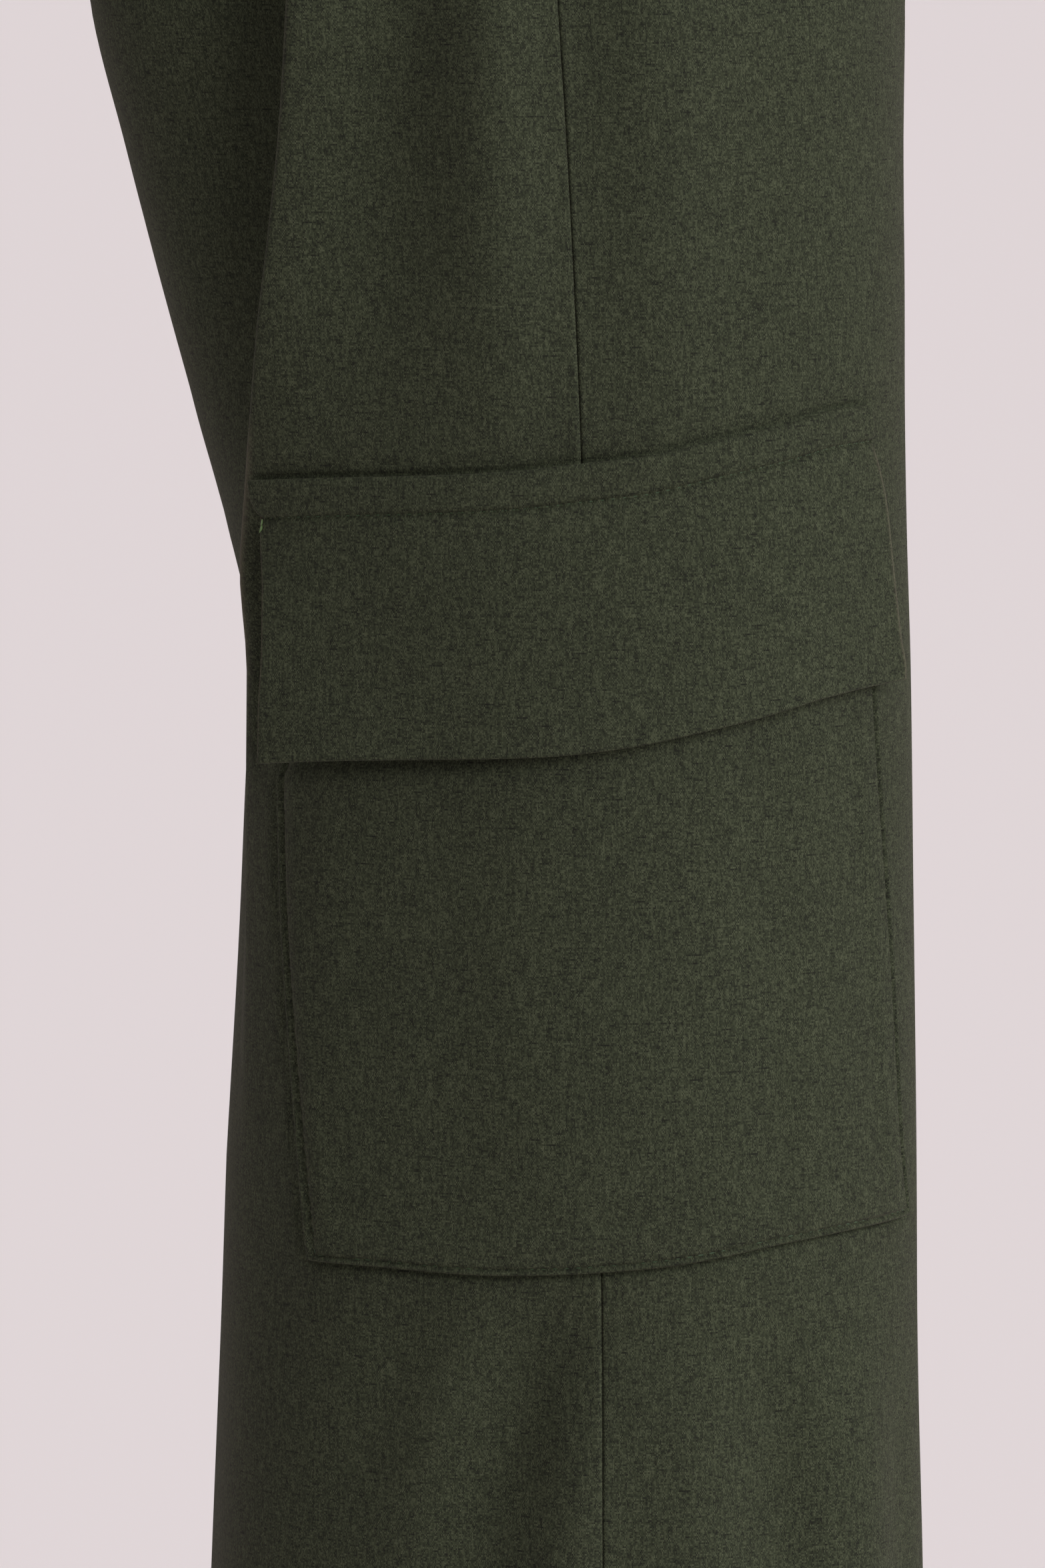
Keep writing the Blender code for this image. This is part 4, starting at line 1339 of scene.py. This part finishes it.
def suiting(name, colours):
    """Plain-woven suiting of mixed yarns: each crossing shows its own yarn, and the nap is soft."""
    nodes = Nodes(name)
    across, down = nodes.uv()
    sway = nodes.noise(across, down, 0.006, 0.006, detail=1.0, offset=3.0)
    sway = nodes.sum("MULTIPLY", nodes.sum("SUBTRACT", sway, 0.5), 0.0003)
    warp = nodes.sum("DIVIDE", nodes.sum("ADD", across, sway), WARP_PITCH)
    weft = nodes.sum("DIVIDE", nodes.sum("ADD", down, sway), WEFT_PITCH)
    end, pick = nodes.sum("FLOOR", warp), nodes.sum("FLOOR", weft)
    crossing = nodes.sum("MULTIPLY", nodes.sum("ADD", end, pick), 0.5)
    parity = nodes.sum("MULTIPLY", nodes.sum("FRACT", crossing), 2.0)
    warp_yarn = nodes.noise(nodes.sum("MULTIPLY", end, 0.37), down, 1.0, 0.0085, detail=2.0, offset=1.0)
    weft_yarn = nodes.noise(across, nodes.sum("MULTIPLY", pick, 0.37), 0.0036, 1.0, detail=2.0, offset=7.0)
    yarn = nodes.blend(parity, warp_yarn, weft_yarn)
    fleck = nodes.scatter(end, pick)
    cloud = nodes.noise(across, down, 0.022, 0.034, detail=2.0, offset=17.0)
    patch = nodes.noise(across, down, 0.0016, 0.0030, detail=2.0, offset=19.0)
    slub = nodes.noise(across, nodes.sum("MULTIPLY", pick, 0.61), 0.0050, 1.0, detail=1.0, offset=23.0)
    slub = nodes.sum("SMOOTH_MIN", nodes.sum("SUBTRACT", slub, 0.38), 0.0, 0.02)
    shade = mixed(nodes, ((yarn, 0.50), (warp_yarn, 0.20), (weft_yarn, 0.10), (fleck, 0.47), (patch, 0.07),
                          (cloud, 0.10), (parity, 0.08)))
    shade = nodes.sum("ADD", shade, nodes.sum("MULTIPLY", slub, 1.7))
    ramp = nodes.add("ShaderNodeValToRGB")
    nodes.feed(ramp.inputs[0], shade)
    stops = ramp.color_ramp.elements
    stops[0].position, stops[0].color = 0.20, (*colours.yarn_dark, 1.0)
    stops[1].position, stops[1].color = 0.86, (*colours.yarn_light, 1.0)
    middle = stops.new(0.52)
    middle.color = (*colours.yarn_olive, 1.0)
    # Painted highlight: the marked edges and crest are tinted toward a light brown
    painted_highlight = nodes.add("ShaderNodeAttribute", attribute_name=CLOTH_PAINTED_HIGHLIGHT)
    tint = nodes.add("ShaderNodeMix", data_type="RGBA")
    nodes.feed(tint.inputs[0], nodes.sum("MULTIPLY", painted_highlight.outputs["Fac"], 0.65))
    nodes.feed(tint.inputs[6], ramp.outputs[0])
    nodes.feed(tint.inputs[7], (*colours.painted_highlight_colour, 1.0))
    nodes.feed(nodes.shader.inputs["Base Color"], tint.outputs[2])
    over_warp = nodes.sum("ABSOLUTE", nodes.sum("SINE", nodes.sum("MULTIPLY", warp, math.pi)))
    over_weft = nodes.sum("ABSOLUTE", nodes.sum("SINE", nodes.sum("MULTIPLY", weft, math.pi)))
    knuckle = nodes.sum("POWER", nodes.sum("MULTIPLY", over_warp, over_weft), 0.6)
    relief = nodes.sum("MULTIPLY_ADD", fleck, 0.7, nodes.sum("MULTIPLY_ADD", yarn, 0.8, knuckle))
    bump = nodes.add("ShaderNodeBump")
    nodes.feed(bump.inputs["Strength"], 0.5)
    nodes.feed(bump.inputs["Distance"], 0.00010)
    nodes.feed(bump.inputs["Height"], relief)
    nodes.feed(nodes.shader.inputs["Normal"], bump.outputs[0])
    nodes.set(Roughness=0.9, Specular_IOR_Level=0.2, Sheen_Weight=0.06, Sheen_Roughness=0.35,
              Sheen_Tint=(1.0, 0.82, 0.66, 1.0))
    return nodes.material


def uneven(name, colour, shades, grain, detail=2.0, twisted=False, **values):
    """A plain finish that varies between two shades of its colour, in grains of a size."""
    nodes = Nodes(name)
    place = nodes.add("ShaderNodeTexCoord")
    split = nodes.add("ShaderNodeSeparateXYZ")
    nodes.feed(split.inputs[0], place.outputs["Object"])
    x, y, z = split.outputs
    across = nodes.sum("ADD", x, y) if twisted else x
    share = nodes.noise(across, z, *grain, detail=detail)
    tint = nodes.add("ShaderNodeMix", data_type="RGBA")
    nodes.feed(tint.inputs[0], share)
    for socket, shade in zip(tint.inputs[6:8], shades):
        nodes.feed(socket, (*(shade * channel for channel in colour), 1.0))
    nodes.feed(nodes.shader.inputs["Base Color"], tint.outputs[2])
    nodes.set(**values)
    return nodes.material


THREAD_FINISH = {"shades": (0.55, 1.45), "grain": (0.0003, 0.0003), "twisted": True,
                 "Roughness": 0.6, "Sheen_Weight": 0.3, "Sheen_Roughness": 0.4}
HORN_FINISH = {"shades": (0.4, 2.2), "grain": (0.0016, 0.0060), "detail": 4.0,
               "Roughness": 0.32, "Coat_Weight": 0.2}
SLIDER_METAL = (0.16, 0.15, 0.12)
ZIP_FINISH = {"shades": (0.75, 1.25), "grain": (0.0008, 0.0008), "detail": 3.0}


def finish_of(name):
    """The material of that name, made the first time it is asked for."""
    ready = bpy.data.materials.get(name)
    if ready is not None:
        return ready
    colours = bpy.context.scene.trouser_colours
    makers = {
        "olive_suiting": lambda: suiting(name, colours),
        "sewing_thread": lambda: uneven(name, colours.thread, **THREAD_FINISH),
        "bright_thread": lambda: uneven(name, colours.tack, **THREAD_FINISH),
        "dark_horn": lambda: uneven(name, colours.horn, **HORN_FINISH),
        "zip_tape": lambda: uneven(name, colours.zip_green, Roughness=0.8, Metallic=0.0, **ZIP_FINISH),
        "zip_coil": lambda: uneven(name, colours.zip_green, Roughness=0.45, Metallic=0.0, **ZIP_FINISH),
        "slider_metal": lambda: uneven(name, SLIDER_METAL, Roughness=0.38, Metallic=1.0, **ZIP_FINISH),
    }
    return makers[name]()


# ---------------------------------------------------------------- operators


class TROUSERS_OT_waistband(bpy.types.Operator):
    """Build the waistband with its lapped end"""

    bl_idname = "trousers.waistband"
    bl_label = "Waistband"

    def execute(self, context):
        waistband(finish_of("olive_suiting"))
        return {"FINISHED"}


class TROUSERS_OT_leg_panels(bpy.types.Operator):
    """Build the front and back panel of each leg"""

    bl_idname = "trousers.leg_panels"
    bl_label = "Leg Panels"

    def execute(self, context):
        sizes = context.scene.trouser_sizes
        for leg in OUTWARD:
            for facing in ("front", "back"):
                leg_panel(leg, facing, finish_of("olive_suiting"), sizes.cloth_thickness)
        return {"FINISHED"}


class TROUSERS_OT_patch_pockets(bpy.types.Operator):
    """Build the patch pocket over each side seam"""

    bl_idname = "trousers.patch_pockets"
    bl_label = "Patch Pockets"

    def execute(self, context):
        sizes = context.scene.trouser_sizes
        for leg in OUTWARD:
            patch_pocket(leg, finish_of("olive_suiting"), sizes.cloth_thickness, sizes.stitch_pitch)
            pocket_stitches(leg, finish_of("sewing_thread"), sizes)
        return {"FINISHED"}


class TROUSERS_OT_pocket_flaps(bpy.types.Operator):
    """Build the flap over each pocket, with its row of stitches and bar tack"""

    bl_idname = "trousers.pocket_flaps"
    bl_label = "Pocket Flaps"

    def execute(self, context):
        sizes = context.scene.trouser_sizes
        for leg in OUTWARD:
            pocket_flap(leg, finish_of("olive_suiting"), sizes)
            flap_stitches(leg, finish_of("sewing_thread"), sizes)
            bar_tack(leg, finish_of("bright_thread"), sizes)
        return {"FINISHED"}


class TROUSERS_OT_rows_of_stitches(bpy.types.Operator):
    """Sew the hems and the fly"""

    bl_idname = "trousers.rows_of_stitches"
    bl_label = "Hem and Fly Stitches"

    def execute(self, context):
        sizes = context.scene.trouser_sizes
        for leg in OUTWARD:
            hem_stitches(leg, finish_of("sewing_thread"), sizes)
        fly_stitches(finish_of("sewing_thread"), sizes)
        return {"FINISHED"}


class TROUSERS_OT_button(bpy.types.Operator):
    """Build the button, its thread and the buttonhole"""

    bl_idname = "trousers.button"
    bl_label = "Button"

    def execute(self, context):
        sizes = context.scene.trouser_sizes
        waist_button(finish_of("dark_horn"))
        button_thread(finish_of("sewing_thread"), sizes)
        buttonhole(finish_of("sewing_thread"), sizes)
        return {"FINISHED"}


class TROUSERS_OT_fly_zip(bpy.types.Operator):
    """Build the zip behind the fly"""

    bl_idname = "trousers.fly_zip"
    bl_label = "Fly Zip"

    def execute(self, context):
        for leg in OUTWARD:
            zip_tape(leg, finish_of("zip_tape"))
        zip_chain(finish_of("zip_coil"))
        zip_slider(finish_of("slider_metal"))
        return {"FINISHED"}


class TROUSERS_OT_stage(bpy.types.Operator):
    """Set the floor, background, lights and camera"""

    bl_idname = "trousers.stage"
    bl_label = "Stage"

    def execute(self, context):
        settings = context.scene.trouser_stage
        pale_floor(settings)
        surroundings(settings)
        soft_sun("key", *KEY_LIGHT, settings.key_strength)
        soft_sun("side", *SIDE_LIGHT, settings.side_strength)
        soft_sun("top", *TOP_LIGHT, settings.top_strength)
        camera(settings)
        context.scene.view_settings.view_transform = "Standard"
        return {"FINISHED"}


def pale_floor(settings):
    """A wide plain floor, a little below the hems."""
    shape = bmesh.new()
    bmesh.ops.create_circle(shape, cap_ends=True, segments=64, radius=FLOOR_RADIUS)
    bmesh.ops.translate(shape, verts=shape.verts, vec=(0.0, 0.0, -OUTSEAM - FLOOR_BELOW))
    data = bpy.data.meshes.new("floor")
    shape.to_mesh(data)
    shape.free()
    floor = bpy.data.objects.new("floor", data)
    bpy.context.scene.collection.objects.link(floor)
    nodes = Nodes("pale_floor")
    nodes.set(Base_Color=(*settings.floor, 1.0), Roughness=0.9, Specular_IOR_Level=0.1)
    data.materials.append(nodes.material)


def surroundings(settings):
    """Pale light from all round, dimmer overhead and brighter behind the wearer.

    The camera itself sees the plain background colour, which is brighter than that light.
    """
    world = bpy.data.worlds.new("pale_room")
    world.use_nodes = True
    tree = world.node_tree
    place, split, ramp, dimmer, wall, seen, both = (
        tree.nodes.new(f"ShaderNode{kind}")
        for kind in ("TexCoord", "SeparateXYZ", "ValToRGB", "Math", "Background", "LightPath", "MixShader"))
    light = tree.nodes["Background"]
    stops = ramp.color_ramp.elements
    for stop, spot, share in ((stops[0], 0.10, settings.horizon), (stops[1], 0.42, settings.overhead)):
        stop.position = spot
        stop.color = (*(share * channel for channel in settings.background), 1.0)
    dimmer.operation = "MULTIPLY_ADD"
    dimmer.inputs[1].default_value = 0.6
    dimmer.inputs[2].default_value = 0.9
    wall.inputs[0].default_value = (*settings.background, 1.0)
    for source, target in (
            (place.outputs["Generated"], split.inputs[0]), (split.outputs[2], ramp.inputs[0]),
            (ramp.outputs[0], light.inputs[0]), (split.outputs[1], dimmer.inputs[0]),
            (dimmer.outputs[0], light.inputs[1]), (seen.outputs["Is Camera Ray"], both.inputs[0]),
            (light.outputs[0], both.inputs[1]), (wall.outputs[0], both.inputs[2]),
            (both.outputs[0], tree.nodes["World Output"].inputs[0])):
        tree.links.new(source, target)
    bpy.context.scene.world = world


def soft_sun(name, towards, spread, strength):
    """A broad soft light from one side, even over the whole stage."""
    lamp = bpy.data.lights.new(name, "SUN")
    lamp.energy = strength
    lamp.angle = math.radians(spread)
    light = bpy.data.objects.new(name, lamp)
    towards = Vector(towards)
    light.location = towards.normalized() * 4.0
    light.rotation_mode = "QUATERNION"
    light.rotation_quaternion = towards.to_track_quat("Z", "Y")
    bpy.context.scene.collection.objects.link(light)


def camera(settings):
    """Camera at the wearer's right side, 18 cm below the waist, looking a little down at the pocket."""
    data = bpy.data.cameras.new("camera")
    data.lens = settings.lens
    data.sensor_width = 36.0
    data.clip_start = 0.05
    data.clip_end = 1000.0
    eye = bpy.data.objects.new("camera", data)
    place, aim = Vector(CAMERA_PLACE), Vector(CAMERA_AIM)
    eye.location = place
    eye.rotation_mode = "QUATERNION"
    eye.rotation_quaternion = (aim - place).to_track_quat("-Z", "Y")
    bpy.context.scene.collection.objects.link(eye)
    bpy.context.scene.camera = eye


# ---------------------------------------------------------------- panel and registration


PIECE_OPERATORS = (
    TROUSERS_OT_waistband,
    TROUSERS_OT_leg_panels,
    TROUSERS_OT_patch_pockets,
    TROUSERS_OT_pocket_flaps,
    TROUSERS_OT_rows_of_stitches,
    TROUSERS_OT_button,
    TROUSERS_OT_fly_zip,
    TROUSERS_OT_stage,
)


class TROUSERS_PT_sidebar(bpy.types.Panel):
    """Sizes, colours and a button for each piece"""

    bl_label = "Palazzo Trousers"
    bl_idname = "TROUSERS_PT_sidebar"
    bl_space_type = "VIEW_3D"
    bl_region_type = "UI"
    bl_category = "Trousers"

    def draw(self, context):
        scene = context.scene
        for group in (scene.trouser_sizes, scene.trouser_colours, scene.trouser_stage):
            box = self.layout.box()
            for key in group.__annotations__:
                box.prop(group, key)
        for operator in PIECE_OPERATORS:
            self.layout.operator(operator.bl_idname)


CLASSES = (TrouserSizes, TrouserColours, StageSettings, *PIECE_OPERATORS, TROUSERS_PT_sidebar)


def register():
    """Register the classes and the scene's settings."""
    for item in CLASSES:
        bpy.utils.register_class(item)
    bpy.types.Scene.trouser_sizes = bpy.props.PointerProperty(type=TrouserSizes)
    bpy.types.Scene.trouser_colours = bpy.props.PointerProperty(type=TrouserColours)
    bpy.types.Scene.trouser_stage = bpy.props.PointerProperty(type=StageSettings)


def unregister():
    """Remove the classes and the scene's settings."""
    del bpy.types.Scene.trouser_stage
    del bpy.types.Scene.trouser_colours
    del bpy.types.Scene.trouser_sizes
    for item in reversed(CLASSES):
        bpy.utils.unregister_class(item)


def main():
    """Build every piece."""
    register()
    bpy.ops.trousers.waistband()
    bpy.ops.trousers.leg_panels()
    bpy.ops.trousers.patch_pockets()
    bpy.ops.trousers.pocket_flaps()
    bpy.ops.trousers.rows_of_stitches()
    bpy.ops.trousers.button()
    bpy.ops.trousers.fly_zip()
    bpy.ops.trousers.stage()


if __name__ == "__main__":
    main()
